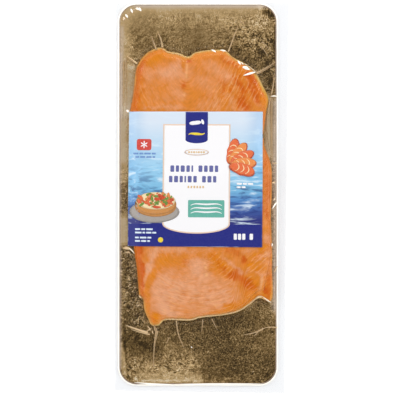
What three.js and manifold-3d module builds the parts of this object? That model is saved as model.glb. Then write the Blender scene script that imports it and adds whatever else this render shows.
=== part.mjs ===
// A vacuum pack of sliced smoked salmon. Two piles of slices, one lapped over the other, lie on a gold
// card inside a clear pouch, and a square label is stuck on the front. The pouch is one solid: it has the
// sealed pack's outer form, with the film drawn down round the card and the fish. Millimetres, +Z up. The
// pack lies on its back on z = 0 with its long side along Y, and X and Y are zero at the pouch's middle.
import * as THREE from 'three';
import { mergeVertices } from 'three/addons/utils/BufferGeometryUtils.js';
import Module from 'manifold-3d';

const wasm = await Module();
wasm.setup();

// ---- Driving dimensions ----
const POUCH_CORNERS = [[-66.1, 148.4], [66.75, 149.3], [62.85, -149.3], [-66.75, -147.5]];
const SEAM_THICKNESS = 0.5;
const CARD = { width: 120, length: 290, corner: 13, x: -3.3, y: 2.5, top: 1.4, rim: 0.25 };
const CARD_FILM_REACH = 0.6;
const CORNER_PULL = 3;

// The edge of the fish, clockwise from its left side: the upper pile's heart-shaped top, the nick between
// the two piles on the right, the lower pile's square corner, its slanting foot and the tail flap.
const FISH_EDGE = [
  [-54.3, 13.5], [-55, 44], [-55.3, 65.5], [-53.8, 74.7], [-52.2, 86.2], [-50.3, 99.2], [-45.3, 107.7],
  [-38.5, 112.9], [-30.9, 114.8], [-26.2, 112], [-18.6, 110.8], [-10.6, 108], [-6.3, 110.8], [2.8, 112.8],
  [10.8, 113.2], [17.5, 113], [23.4, 107.7], [33.3, 102.2], [40.3, 96.5], [45.9, 86.5], [49.9, 78.1],
  [50.8, 72.4], [48.9, 64.8], [47.9, 56.4], [46.6, 48.7], [47.7, 39.5], [51, 31.1], [53.1, 22.7],
  [53.3, 5.9], [52.7, -13.2], [53.3, -36.2], [53.8, -62.9], [53.6, -77.5], [51.6, -80], [43.6, -76.8],
  [36.4, -81.8], [28.7, -86.7], [17.1, -89.8], [-1.8, -91.9], [-8, -93.8], [-29.5, -93.8], [-35, -101.2],
  [-40, -97.3], [-42.7, -89.5], [-45, -79.4], [-46.9, -74.4], [-48.9, -64.2], [-50.7, -50.7],
  [-51.9, -43.8], [-53, -28.5], [-53.8, -9.4],
];
const FISH_CURVE_STEPS = 240;

// Thicknesses above the card: the pile under its top slice, the top slice, the swell in the middle and the
// extra where the two piles lap under the label.
const PILE = { edge: 5, topSlice: 2.6, crown: 0.8, lap: 1.8 };
const LAP_LINE = { y: 14, halfWidth: 24 };

// The cut edges are soft. The pile's edge starts at a share of its height and rounds over, and so does the
// edge of its top slice, which ends further in, most of all at one corner of the lower pile.
const PILE_EDGE = { share: 0.8, round: 1.3 };
const TOP_SLICE_EDGE = { inset: 3.2, halfWidth: 0.8, foot: 0.15, share: 0.85, round: 3.5 };
const SHORT_CORNER = { x: 54, y: -72, reach: 20, inset: 5 };

// The film's span from the fish's edge down to the card, and its height part of the way out, as a share of
// the pile's edge. The stiff label holds it out, wide and high, all along its left side.
const TENT = { width: 2.8, share: 0.22, mostOfRoom: 0.7, middle: 0.45 };
const TENT_BESIDE_LABEL = { width: 7, share: 0.6, x: -55, y: 14, halfWidth: 16, halfLength: 62 };

const LABEL_CORNERS = [[-55.7, 65.5], [46, 65.4], [45.5, -37.7], [-56.9, -36.8]];
const LABEL = { gap: 0.3, thickness: 0.3, headroom: 30 };

// The main folds of the film: from the fish out over the card, with their height at the fish.
const FOLDS = [
  { from: [-30.5, 113], to: [-34.2, 127], rise: 3 }, { from: [-35, 112.5], to: [-39.2, 124], rise: 2.2 },
  { from: [-47.5, 101.5], to: [-58, 108.5], rise: 2.6 }, { from: [19.5, 110], to: [27.3, 131.5], rise: 2.8 },
  { from: [42, 96.5], to: [56, 104], rise: 3 }, { from: [-35, -98], to: [-37.5, -124], rise: 3 },
  { from: [-19.2, -91], to: [-16.2, -113], rise: 2.4 }, { from: [-41, -96], to: [-57.5, -98], rise: 2.4 },
  { from: [38, -82], to: [47, -99.5], rise: 2.2 }, { from: [26, -88], to: [31, -105], rise: 2 },
];
const FOLD_WIDTH = 3.4;
const FOLD_SUNK = 0.6;

// ---- Rays ----
// Every outline is met by the same rays. They leave a straight spine inside the fish, square to it along
// the sides and fanned out round its two ends, so the outlines join up point for point.
const SPINE = { x: CARD.x, top: 67, bottom: -48 };
const HALF_RAYS = 92;

function guideHalf() {
  const right = CARD.x + CARD.width / 2;
  const top = CARD.y + CARD.length / 2;
  const bottom = CARD.y - CARD.length / 2;
  const path = new THREE.Path();
  path.moveTo(CARD.x, top);
  path.lineTo(right - CARD.corner, top);
  path.absarc(right - CARD.corner, top - CARD.corner, CARD.corner, Math.PI / 2, 0, true);
  path.lineTo(right, bottom + CARD.corner);
  path.absarc(right - CARD.corner, bottom + CARD.corner, CARD.corner, 0, -Math.PI / 2, true);
  path.lineTo(CARD.x, bottom);
  return path.getSpacedPoints(HALF_RAYS);
}

function makeRays() {
  const right = guideHalf();
  const left = right.slice(1, -1).reverse().map((p) => new THREE.Vector2(2 * SPINE.x - p.x, p.y));
  return [...right, ...left].map((target) => {
    const from = new THREE.Vector2(SPINE.x, THREE.MathUtils.clamp(target.y, SPINE.bottom, SPINE.top));
    const way = target.clone().sub(from);
    return { from, card: way.length(), way: way.normalize() };
  });
}

// The distance along a ray to the farthest place where it crosses a closed outline.
function reach({ from, way }, outline) {
  let far = 0;
  outline.forEach((start, i) => {
    const edge = outline[(i + 1) % outline.length].clone().sub(start);
    const offset = start.clone().sub(from);
    const slant = way.cross(edge);
    const along = offset.cross(edge) / slant;
    const share = offset.cross(way) / slant;
    if (share >= 0 && share <= 1 && along > far) far = along;
  });
  return far;
}

const at = ({ from, way }, distance) => from.clone().addScaledVector(way, distance);
const vectors = (points) => points.map(([x, y]) => new THREE.Vector2(x, y));
const CORNERS = vectors(POUCH_CORNERS);

// A point of the rim that lies beside a corner of the pouch moves into it, so that the corners are sharp.
const intoCorner = (point) => CORNERS.find((corner) => corner.distanceTo(point) < CORNER_PULL) ?? point;

function fishOutline() {
  const points = FISH_EDGE.map(([x, y]) => new THREE.Vector3(x, y, 0));
  const curve = new THREE.CatmullRomCurve3(points, true, 'centripetal');
  return curve.getPoints(FISH_CURVE_STEPS).slice(0, -1).map(({ x, y }) => new THREE.Vector2(x, y));
}

// ---- Heights ----
const bell = (offset, halfWidth) => Math.exp(-((offset / halfWidth) ** 2));

// The extra height where the piles lap, which fades in over the profile's rings between the film's foot and
// the top slice.
function lapHeight(point, ring) {
  const share = THREE.MathUtils.smoothstep(ring, RING.filmFoot, RING.topSlice);
  return share * PILE.lap * bell(point.y - LAP_LINE.y, LAP_LINE.halfWidth);
}

function tentAt(point, cardRoom) {
  const { x, y, halfWidth, halfLength } = TENT_BESIDE_LABEL;
  const beside = bell(point.x - x, halfWidth) * bell(point.y - y, halfLength);
  const width = THREE.MathUtils.lerp(TENT.width, TENT_BESIDE_LABEL.width, beside);
  return {
    width: Math.min(width, TENT.mostOfRoom * cardRoom),
    share: THREE.MathUtils.lerp(TENT.share, TENT_BESIDE_LABEL.share, beside),
  };
}

function topSliceInset(point) {
  const distance = Math.hypot(point.x - SHORT_CORNER.x, point.y - SHORT_CORNER.y);
  return TOP_SLICE_EDGE.inset + SHORT_CORNER.inset * bell(distance, SHORT_CORNER.reach);
}

// One ray's run of points, as [distance along the ray, height]: from the middle of the flat back out to the
// pouch's rim, and over the front back to the spine. RING names the places in it that other steps use.
const RING = { rimBelow: 1, rimAbove: 2, filmFoot: 6, topSlice: 11 };
const CROWN_SHARES = [0.82, 0.62, 0.42, 0.2];

function rayProfile(ray, fish) {
  const rim = reach(ray, CORNERS);
  const edge = reach(ray, fish);
  const edgePoint = at(ray, edge);
  const tent = tentAt(edgePoint, ray.card - CARD.rim - edge);
  const step = topSliceInset(edgePoint);
  const inner = edge - step - TOP_SLICE_EDGE.halfWidth;
  const pile = (share, rise) => CARD.top + share * PILE.edge + rise;
  const crowned = PILE.topSlice + PILE.crown;
  return [
    [0, 0],
    [rim, 0],
    [rim, SEAM_THICKNESS],
    [ray.card + Math.min(CARD_FILM_REACH, (rim - ray.card) / 2), SEAM_THICKNESS],
    [ray.card, CARD.top - CARD.rim],
    [ray.card - CARD.rim, CARD.top],
    [edge + tent.width, CARD.top],
    [edge + tent.width * TENT.middle, pile(tent.share, 0)],
    [edge, pile(PILE_EDGE.share, 0)],
    [edge - PILE_EDGE.round, pile(1, 0)],
    [edge - step + TOP_SLICE_EDGE.halfWidth, pile(1, TOP_SLICE_EDGE.foot)],
    [inner, pile(1, PILE.topSlice * TOP_SLICE_EDGE.share)],
    [inner - TOP_SLICE_EDGE.round, pile(1, PILE.topSlice)],
    ...CROWN_SHARES.map((share) => [inner * share, pile(1, crowned - PILE.crown * share)]),
    [0, pile(1, crowned)],
  ];
}

// ---- Solids ----
// Rings of points round the pack, one for each step of the profile, joined by faces. The first and the last
// ring lie on the spine, where points of neighbouring rays can meet, so that their faces have no area.
function packGeometry() {
  const fish = fishOutline();
  const rays = makeRays();
  const profiles = rays.map((ray) => rayProfile(ray, fish));
  const rings = profiles[0].length;
  const positions = [];
  profiles.forEach((profile, i) => profile.forEach(([distance, height], k) => {
    const onRim = k === RING.rimBelow || k === RING.rimAbove;
    const point = onRim ? intoCorner(at(rays[i], distance)) : at(rays[i], distance);
    positions.push(point.x, point.y, height + lapHeight(point, k));
  }));
  const faces = [];
  rays.forEach((_, i) => {
    const next = (i + 1) % rays.length;
    for (let k = 0; k + 1 < rings; k += 1) {
      const [a, b] = [i * rings + k, i * rings + k + 1];
      const [c, d] = [next * rings + k, next * rings + k + 1];
      faces.push(a, b, c, b, d, c);
    }
  });
  const geometry = new THREE.BufferGeometry();
  geometry.setAttribute('position', new THREE.Float32BufferAttribute(positions, 3));
  geometry.setIndex(faces);
  return geometry;
}

function toSolid(geometry) {
  const merged = mergeVertices(geometry, 1e-4);
  const index = merged.index.array;
  const kept = [];
  for (let i = 0; i < index.length; i += 3) {
    const [a, b, c] = [index[i], index[i + 1], index[i + 2]];
    if (a !== b && b !== c && c !== a) kept.push(a, b, c);
  }
  const { Manifold, Mesh } = wasm;
  return new Manifold(new Mesh({
    numProp: 3,
    vertProperties: new Float32Array(merged.attributes.position.array),
    triVerts: new Uint32Array(kept),
  }));
}

function toMesh(name, solid, material) {
  const { vertProperties, triVerts } = solid.getMesh();
  const geometry = new THREE.BufferGeometry();
  geometry.setAttribute('position', new THREE.BufferAttribute(new Float32Array(vertProperties), 3));
  geometry.setIndex(new THREE.BufferAttribute(new Uint32Array(triVerts), 1));
  geometry.computeVertexNormals();
  const mesh = new THREE.Mesh(geometry, material);
  mesh.name = name;
  return mesh;
}

// A fold of film is a long low wedge: a ridge that sinks from the fish to a point on the card.
function foldSolid({ from, to, rise }) {
  const [start, end] = vectors([from, to]);
  const along = end.clone().sub(start).normalize();
  const across = new THREE.Vector2(-along.y, along.x).multiplyScalar(FOLD_WIDTH / 2);
  const foot = CARD.top - FOLD_SUNK;
  const [left, right] = [start.clone().add(across), start.clone().sub(across)];
  return wasm.Manifold.hull([
    [left.x, left.y, foot], [right.x, right.y, foot],
    [start.x, start.y, CARD.top + rise], [end.x, end.y, foot],
  ]);
}

// The label follows the pack below it. It is the layer between two raised copies of the pack, one higher
// than the other by the label's thickness, cut to the label's outline by a column over the card.
function labelSolid(pack) {
  const outline = wasm.CrossSection.ofPolygons([[...LABEL_CORNERS].reverse()]);
  const column = outline.extrude(LABEL.headroom).translate([0, 0, CARD.top]);
  const under = pack.translate([0, 0, LABEL.gap]);
  const over = pack.translate([0, 0, LABEL.gap + LABEL.thickness]);
  return over.subtract(under).intersect(column);
}

const pack = toSolid(packGeometry());
const pouch = pack.add(wasm.Manifold.union(FOLDS.map(foldSolid)));

const filmOverFish = new THREE.MeshStandardMaterial({ color: 0xd98a52, roughness: 0.22, metalness: 0 });
const paper = new THREE.MeshStandardMaterial({ color: 0x6fa9cf, roughness: 0.45, metalness: 0 });

const group = new THREE.Group();
group.add(toMesh('pouch', pouch, filmOverFish));
group.add(toMesh('label', labelSolid(pack), paper));

export default group;
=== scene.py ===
# %% [markdown]
# # A vacuum pack of smoked salmon
#
# The real object is a clear plastic pouch with the air drawn out of it. Inside lie a card faced with gold
# foil and two piles of thin fish slices, and a printed label is stuck on the front of the pouch.
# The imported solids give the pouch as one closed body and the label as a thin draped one. This script takes
# their places and makes what they stand for: the card, each slice, the film and the printed label.

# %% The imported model
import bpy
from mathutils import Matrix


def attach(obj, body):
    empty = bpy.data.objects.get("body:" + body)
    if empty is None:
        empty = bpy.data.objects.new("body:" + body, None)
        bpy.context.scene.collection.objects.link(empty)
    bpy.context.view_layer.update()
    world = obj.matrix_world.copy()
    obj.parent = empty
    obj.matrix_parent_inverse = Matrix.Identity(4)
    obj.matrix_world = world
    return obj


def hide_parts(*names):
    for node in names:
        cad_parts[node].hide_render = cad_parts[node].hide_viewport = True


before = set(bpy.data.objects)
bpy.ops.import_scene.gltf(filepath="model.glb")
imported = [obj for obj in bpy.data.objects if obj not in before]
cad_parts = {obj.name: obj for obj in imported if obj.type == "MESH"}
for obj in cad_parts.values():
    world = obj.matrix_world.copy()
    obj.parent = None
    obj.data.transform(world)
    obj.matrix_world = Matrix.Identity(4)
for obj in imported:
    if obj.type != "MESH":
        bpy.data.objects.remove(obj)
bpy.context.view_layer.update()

import math

import bpy
import numpy as np

MM = 0.001

# %% [markdown]
# ## Looking down on the pack
#
# The pack lies on its back and the camera looks straight down at it. A long lens far away keeps the raised
# fish from growing against the card. The camera is the first thing made because all colours are judged
# through it.

# %% Camera
VIEW_WIDTH = 305.8 * MM
VIEW_CENTRE = (-1.75 * MM, -1.75 * MM)
CAMERA_HEIGHT = 1.6

camera_data = bpy.data.cameras.new("camera")
camera_data.lens = camera_data.sensor_width * CAMERA_HEIGHT / VIEW_WIDTH
camera = bpy.data.objects.new("camera", camera_data)
camera.location = (*VIEW_CENTRE, CAMERA_HEIGHT)
bpy.context.collection.objects.link(camera)
bpy.context.scene.camera = camera
print("lens, mm:", round(camera_data.lens))

# %% [markdown]
# ## The studio
#
# Foil is a mirror for whatever stands round it, so the studio is half of its colour. Straight overhead it
# is dim, where the camera stands, and it brightens towards the walls. A flat piece of foil then looks deep
# olive brown, and each crinkle that leans to a wall flashes pale gold. The world does this with a ramp on
# the height of the direction, and the foil's colour adds painted sheen and shade of the same kind. Soft boxes
# at the sides add the sparks on the film.

# %% Light and floor
ZENITH_LIGHT = (0.16, 0.16, 0.165)
WALL_LIGHT = (1.22, 1.23, 1.25)
SOFT_BOXES = [
    # name, place in metres, size in metres, power in watts
    ("box_right", (1.0, 0.55, 0.9), (0.25, 0.5), 2.2),
    ("box_left", (-1.1, 0.5, 0.9), (0.25, 0.5), 2.0),
    ("box_top", (0.1, 1.2, 0.8), (0.6, 0.2), 2.0),
]


def srgb(red, green, blue):
    """A colour given as three screen values from 0 to 255, as the linear numbers that shaders use."""
    screen = np.array([red, green, blue]) / 255
    return (*np.where(screen <= 0.04045, screen / 12.92, ((screen + 0.055) / 1.055) ** 2.4).tolist(), 1.0)


def build_world():
    world = bpy.data.worlds.new("studio")
    bpy.context.scene.world = world
    world.use_nodes = True
    nodes, links = world.node_tree.nodes, world.node_tree.links
    way = nodes.new("ShaderNodeTexCoord")
    split = nodes.new("ShaderNodeSeparateXYZ")
    ramp = nodes.new("ShaderNodeValToRGB")
    ramp.color_ramp.interpolation = "EASE"
    ramp.color_ramp.elements[0].position = 0.64
    ramp.color_ramp.elements[0].color = (*WALL_LIGHT, 1)
    ramp.color_ramp.elements[1].position = 0.96
    ramp.color_ramp.elements[1].color = (*ZENITH_LIGHT, 1)
    links.new(way.outputs["Generated"], split.inputs[0])
    links.new(split.outputs["Z"], ramp.inputs[0])
    links.new(ramp.outputs[0], nodes["Background"].inputs["Color"])


def build_soft_box(name, place, size, power):
    data = bpy.data.lights.new(name, "AREA")
    data.shape, data.size, data.size_y, data.energy = "RECTANGLE", *size, power
    lamp = bpy.data.objects.new(name, data)
    lamp.location = place
    aim = -lamp.location
    lamp.rotation_euler = aim.to_track_quat("-Z", "Y").to_euler()
    bpy.context.collection.objects.link(lamp)


def build_floor():
    mesh = bpy.data.meshes.new("floor")
    side, drop = 3.0, -0.0005
    mesh.from_pydata([(-side, -side, drop), (side, -side, drop), (side, side, drop), (-side, side, drop)],
                     [], [(0, 1, 2, 3)])
    floor = bpy.data.objects.new("floor", mesh)
    bpy.context.collection.objects.link(floor)
    material = bpy.data.materials.new("white floor")
    material.use_nodes = True
    shader = material.node_tree.nodes["Principled BSDF"]
    shader.inputs["Base Color"].default_value = (0.95, 0.95, 0.95, 1)
    shader.inputs["Roughness"].default_value = 0.9
    shader.inputs["Emission Color"].default_value = (1, 1, 1, 1)
    shader.inputs["Emission Strength"].default_value = 0.2
    mesh.materials.append(material)


build_world()
for soft_box in SOFT_BOXES:
    build_soft_box(*soft_box)
build_floor()
bpy.context.scene.view_settings.view_transform = "Standard"

# %% [markdown]
# ## Surfaces as arrays
#
# Everything below is a grid of points worked out with numpy and put into a mesh in one go. Three kinds of
# body are enough. A slab has a top and a bottom grid joined by a wall. A round solid is a stack of rings
# between two poles. The card and the pouch are a top grid closed by a flat back.

# %% Meshes from arrays
def add_piece(name, points, faces, material, slot, replaces):
    """Puts points, in millimetres, and lists of corner numbers into a smooth mesh, and says what it is."""
    mesh = bpy.data.meshes.new(name)
    mesh.from_pydata((points * MM).tolist(), [], faces)
    mesh.polygons.foreach_set("use_smooth", np.ones(len(mesh.polygons), bool))
    mesh.materials.append(material)
    piece = bpy.data.objects.new(name, mesh)
    bpy.context.collection.objects.link(piece)
    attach(piece, "root")
    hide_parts(replaces)
    print(f"{name}: {len(mesh.vertices)} points, {len(mesh.polygons)} faces")
    return piece


def add_values(piece, **values):
    """Keeps a number, or three of them, for each point of a piece. Its material reads them by name."""
    for name, numbers in values.items():
        kind, field = ("FLOAT_VECTOR", "vector") if np.ndim(numbers) == 2 else ("FLOAT", "value")
        layer = piece.data.attributes.new(name, kind, "POINT")
        layer.data.foreach_set(field, np.ascontiguousarray(numbers, np.float32).ravel())


def grid_faces(rows, columns, first=0):
    """The quads of a grid stored row by row, facing up when rows run up and columns run right."""
    row, column = np.meshgrid(np.arange(rows - 1), np.arange(columns - 1), indexing="ij")
    here = first + row * columns + column
    return np.stack([here, here + 1, here + 1 + columns, here + columns], -1).reshape(-1, 4)


def grid_border(rows, columns):
    """The point numbers round a grid's border, anticlockwise seen from above."""
    number = np.arange(rows * columns).reshape(rows, columns)
    return np.concatenate([number[0, :-1], number[:-1, -1], number[-1, :0:-1], number[:0:-1, 0]])


def wall_faces(lower, upper):
    """Quads between two closed loops of point numbers that both run anticlockwise, facing out."""
    return np.stack([lower, np.roll(lower, -1), np.roll(upper, -1), upper], -1)


def slab(x, y, top, bottom):
    """A closed body between two height grids over the same points: both grids and a wall round them."""
    points = np.concatenate([np.stack([x, y, z], -1).reshape(-1, 3) for z in (top, bottom)])
    above, border = grid_faces(*x.shape), grid_border(*x.shape)
    walls = wall_faces(border + x.size, border)
    return points, np.concatenate([above, above[:, ::-1] + x.size, walls]).tolist()


def flat_backed(points, shape, height, share=1.0):
    """A closed body: a top grid, a wall down from its border, and one flat face at a height. The back may be
    drawn in to a share of its distance from the middle."""
    border = grid_border(*shape)
    back = points[border] * (share, share, 0) + (0, 0, height)
    flat = np.arange(len(border)) + len(points)
    faces = grid_faces(*shape).tolist() + wall_faces(flat, border).tolist() + [flat[::-1].tolist()]
    return np.concatenate([points, back]), faces


def round_solid(rings, top_pole, bottom_pole):
    """A closed body of rings, stored from the top pole to the bottom one, each running anticlockwise."""
    count, around = rings.shape[:2]
    points = np.concatenate([rings.reshape(-1, 3), [top_pole, bottom_pole]])
    number = np.arange(count * around).reshape(count, around)
    after = np.roll(number, -1, axis=1)
    sides = np.stack([number[:-1], number[1:], after[1:], after[:-1]], -1).reshape(-1, 4)
    cap = np.stack([np.full(around, count * around), number[0], after[0]], -1)
    base = np.stack([np.full(around, count * around + 1), after[-1], number[-1]], -1)
    return points, sides.tolist() + cap.tolist() + base.tolist()


def merged(bodies):
    """Several bodies as one: their points one after another, and the corner numbers of each counted on."""
    points, faces, first = [], [], 0
    for body_points, body_faces in bodies:
        points.append(body_points)
        faces += [[first + corner for corner in face] for face in body_faces]
        first += len(body_points)
    return np.concatenate(points), faces


def ribbon(guides, width, step, across=5):
    """A strip along a bent line. Each guide point pulls the line towards itself with the weight of a
    binomial term (a Bezier curve). Gives the strip's grid and, for each point of it, the share of the way
    along, from 0 to 1, and across, from -1 to 1. The width may be a function of the share along."""
    order = len(guides) - 1
    length = sum(math.dist(a, b) for a, b in zip(guides, guides[1:]))
    t = np.linspace(0, 1, max(4, int(length / step)))
    line = sum(math.comb(order, k) * (t**k * (1 - t) ** (order - k))[:, None] * np.array(guide, float)
               for k, guide in enumerate(guides))
    run = np.gradient(line, axis=0)
    run /= np.linalg.norm(run, axis=1)[:, None]
    along, share = np.meshgrid(t, np.linspace(-1, 1, across), indexing="ij")
    half = (width(along) if callable(width) else width) / 2
    x = line[:, :1] + share * half * run[:, 1:]
    y = line[:, 1:] - share * half * run[:, :1]
    return x, y, along, share


# %% [markdown]
# ## Outlines, distances and noise
#
# A slice of fish has no formula for its outline, so a few given points carry a smooth closed curve.
# From the outlines come charts: grids over the whole pack that say, for each place, how far inside an
# outline it lies or how high the film is there. Every piece is then shaped by reading the same charts,
# which is why the film fits the fish and the label fits the film.

# %% Charts
CHART_STEP = 0.75
CHART_HALF = (69.0, 151.5)
chart_x, chart_y = (np.arange(-half, half + CHART_STEP, CHART_STEP) for half in CHART_HALF)
X, Y = np.meshgrid(chart_x, chart_y)


def closed_curve(points, steps=6):
    """A smooth closed line through the points: a centripetal Catmull-Rom spline. Each stretch is a cubic
    whose end slopes follow the neighbouring points, with time counted as the square root of distance."""
    p1 = np.asarray(points, float)
    p0, p2, p3 = (np.roll(p1, shift, 0) for shift in (1, -1, -2))
    t0, t1, t2 = (np.sqrt(np.linalg.norm(b - a, axis=1))[:, None] for a, b in ((p0, p1), (p1, p2), (p2, p3)))
    start = ((p1 - p0) / t0 - (p2 - p0) / (t0 + t1) + (p2 - p1) / t1) * t1
    end = ((p2 - p1) / t1 - (p3 - p1) / (t1 + t2) + (p3 - p2) / t2) * t1
    s = np.linspace(0, 1, steps, endpoint=False)[:, None, None]
    curve = ((2 * s**3 - 3 * s**2 + 1) * p1 + (s**3 - 2 * s**2 + s) * start
             + (3 * s**2 - 2 * s**3) * p2 + (s**3 - s**2) * end)
    return curve.transpose(1, 0, 2).reshape(-1, 2)


def inside_distance(x, y, outline):
    """How far each point lies inside a closed outline, negative outside: the least distance to its edges,
    with the sign from counting the edges that a line to the right would cross."""
    nearest, inside = np.full(x.shape, np.inf), np.zeros(x.shape, bool)
    for (ax, ay), (bx, by) in zip(outline, np.roll(outline, -1, 0)):
        nearest = np.minimum(nearest, line_distance(x, y, (ax, ay), (bx, by)))
        if by != ay:
            inside ^= ((ay > y) != (by > y)) & (x < ax + (y - ay) * (bx - ax) / (by - ay))
    return np.where(inside, nearest, -nearest)


def line_distance(x, y, start, end):
    """How far each place is from a straight line between two points."""
    (ax, ay), (bx, by) = start, end
    dx, dy = bx - ax, by - ay
    along = np.clip(((x - ax) * dx + (y - ay) * dy) / (dx * dx + dy * dy + 1e-9), 0, 1)
    return np.hypot(x - ax - along * dx, y - ay - along * dy)


def read_chart(chart, x, y):
    """A chart's value at any places, blended from the four chart points round each."""
    u = np.clip((x - chart_x[0]) / CHART_STEP, 0, len(chart_x) - 1.001)
    v = np.clip((y - chart_y[0]) / CHART_STEP, 0, len(chart_y) - 1.001)
    i, j = u.astype(int), v.astype(int)
    u, v = u - i, v - j
    low = chart[j, i] * (1 - u) + chart[j, i + 1] * u
    high = chart[j + 1, i] * (1 - u) + chart[j + 1, i + 1] * u
    return low * (1 - v) + high * v


def blur(chart, radius):
    """Softens a chart: each value becomes a mean of its neighbours, weighted by a bell of that radius."""
    reach = int(3 * radius / CHART_STEP) + 1
    weights = np.exp(-0.5 * (np.arange(-reach, reach + 1) * CHART_STEP / radius) ** 2)
    weights /= weights.sum()
    for axis in (0, 1):
        padded = np.pad(chart, [(reach, reach) if a == axis else (0, 0) for a in (0, 1)], mode="edge")
        chart = np.apply_along_axis(np.convolve, axis, padded, weights, mode="valid")
    return chart


def bell(offset, radius):
    """1 at no offset, sinking to 0 over about twice the radius."""
    return np.exp(-((offset / radius) ** 2))


def ease(value, low, high):
    """0 up to low, 1 from high on, and a smooth S between."""
    share = np.clip((value - low) / (high - low), 0, 1)
    return share * share * (3 - 2 * share)


def patches(x, y, rows):
    """The sum of soft patches. Each row is a line's start x, y and end x, y, a radius and a strength, and
    gives a bell across the distance to that line, times the strength."""
    total = np.zeros(x.shape)
    for ax, ay, bx, by, radius, strength in rows:
        total += strength * bell(line_distance(x, y, (ax, ay), (bx, by)), radius)
    return total


def noise(x, y, size, seed):
    """Smooth random hills from -1 to 1: random heights on a square lattice, eased between neighbours."""
    side, middle = 256, 64
    lattice = np.random.default_rng(seed).uniform(-1, 1, (side, side))
    u, v = x / size + middle, y / size + middle
    i, j = np.floor(u).astype(int), np.floor(v).astype(int)
    u, v = ease(u - i, 0, 1), ease(v - j, 0, 1)
    corner = [[lattice[(j + b) % side, (i + a) % side] for a in (0, 1)] for b in (0, 1)]
    low = corner[0][0] * (1 - u) + corner[0][1] * u
    high = corner[1][0] * (1 - u) + corner[1][1] * u
    return low * (1 - v) + high * v


# %% [markdown]
# ## The two piles of fish
#
# Each pile is the end of a side of salmon, cut at a slant into wide thin slices that were slid on to the
# card together. The upper pile has a heart-shaped top edge. The lower one has a square corner at the right,
# a slanting foot and a tail flap at the left, and it goes under the upper one below the label.
# The outlines run clockwise in millimetres, and the parts below the label are plain round ends.

# %% Outlines of the piles
UPPER_PILE = [
    (-54.6, 30), (-55, 44), (-55.3, 65.5), (-53.8, 74.7), (-52.2, 86.2), (-50.3, 99.2), (-45.3, 107.7),
    (-38.5, 112.9), (-30.9, 114.8), (-26.2, 112), (-18.6, 110.8), (-10.6, 108), (-6.3, 110.8),
    (2.8, 112.8), (10.8, 113.2), (17.5, 113), (23.4, 107.7), (33.3, 102.2), (40.3, 96.5), (45.9, 86.5),
    (49.9, 78.1), (50.8, 72.4), (48.9, 64.8), (47.9, 56.4), (46.4, 47.5), (38, 26), (18, 10), (-14, 4),
    (-42, 12),
]
LOWER_PILE = [
    (-46, 36), (-20, 46), (14, 45), (38, 46), (46.6, 46.5), (47.7, 39.5), (51, 31.1), (53.1, 22.7),
    (53.3, 5.9), (52.7, -13.2), (53.3, -36.2), (53.8, -62.9), (53.6, -77.5), (51.6, -80), (43.6, -76.8),
    (36.4, -81.8), (28.7, -86.7), (17.1, -89.8), (-1.8, -91.9), (-8, -93.8), (-29.3, -93.8), (-31.0, -95.1),
    (-32.2, -97.2), (-35.6, -98.2), (-39.5, -97.3), (-41.4, -93.2), (-44.3, -87), (-45.1, -83),
    (-45.3, -77.6), (-46.9, -76.6), (-48.2, -75), (-49.2, -66), (-50.7, -50.7), (-51.9, -43.8), (-53, -28.5),
    (-53.8, -9.4), (-54.3, 13.5),
]

in_upper = inside_distance(X, Y, closed_curve(UPPER_PILE))
in_lower = inside_distance(X, Y, closed_curve(LOWER_PILE))
in_fish = np.maximum(in_upper, in_lower)
print("fish covers, cm2:", round((in_fish > 0).sum() * CHART_STEP**2 / 100))

# %% [markdown]
# ## The form that the film takes
#
# With the air gone, the film lies on the card, climbs the side of the fish in a short span and follows its
# top. The height of that form is a sum: the card's step, the pile's edge, the top slice's own step a little
# further in, a low crown and the swell where the piles lap. All lengths and heights are those of the
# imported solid. A light blur then does what a stretched film does to every corner.

# %% Height of the form
CARD = {"width": 120, "length": 290, "corner": 13, "x": -3.3, "y": 2.5, "top": 1.4}
SEAM_HEIGHT = 0.35
PILE = {"edge": 5.0, "top_slice": 2.6, "crown": 0.8, "lap": 1.8}
LAP_LINE = {"y": 14, "half_width": 24}
TOP_SLICE_INSET = 1.9
SHORT_CORNER = {"x": 54, "y": -71, "reach": 17, "inset": 5.6}
TENT = {"width": 2.8, "sag": 2.2}
TENT_BESIDE_LABEL = {"width": 7, "sag": 0.55, "x": -55, "y": 14, "half_width": 16, "half_length": 62}
EDGE_SHARE = 0.8


def in_card(x, y):
    """How far inside the card's rounded rectangle a place is, negative outside."""
    right = np.abs(x - CARD["x"]) - CARD["width"] / 2 + CARD["corner"]
    up = np.abs(y - CARD["y"]) - CARD["length"] / 2 + CARD["corner"]
    corner = np.hypot(np.maximum(right, 0), np.maximum(up, 0)) + np.minimum(np.maximum(right, up), 0)
    return CARD["corner"] - corner


def tent_height():
    """The film between the fish's edge and the card: it sinks as a power of the way out, fast where it
    hangs free and slowly beside the label's left side, where the stiff label holds it out."""
    side = TENT_BESIDE_LABEL
    beside = bell(X - side["x"], side["half_width"]) * bell(Y - side["y"], side["half_length"])
    width = TENT["width"] + (side["width"] - TENT["width"]) * beside
    sag = TENT["sag"] + (side["sag"] - TENT["sag"]) * beside
    return PILE["edge"] * EDGE_SHARE * np.clip(1 + in_fish / width, 0, 1) ** sag


short_corner = SHORT_CORNER["inset"] * bell(np.hypot(X - SHORT_CORNER["x"], Y - SHORT_CORNER["y"]),
                                            SHORT_CORNER["reach"])
top_inset = TOP_SLICE_INSET + 0.5 * noise(X, Y, 14, 3)
in_upper_top = in_upper - top_inset
in_lower_top = in_lower - top_inset - short_corner
in_top = np.maximum(in_upper_top, in_lower_top)

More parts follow.
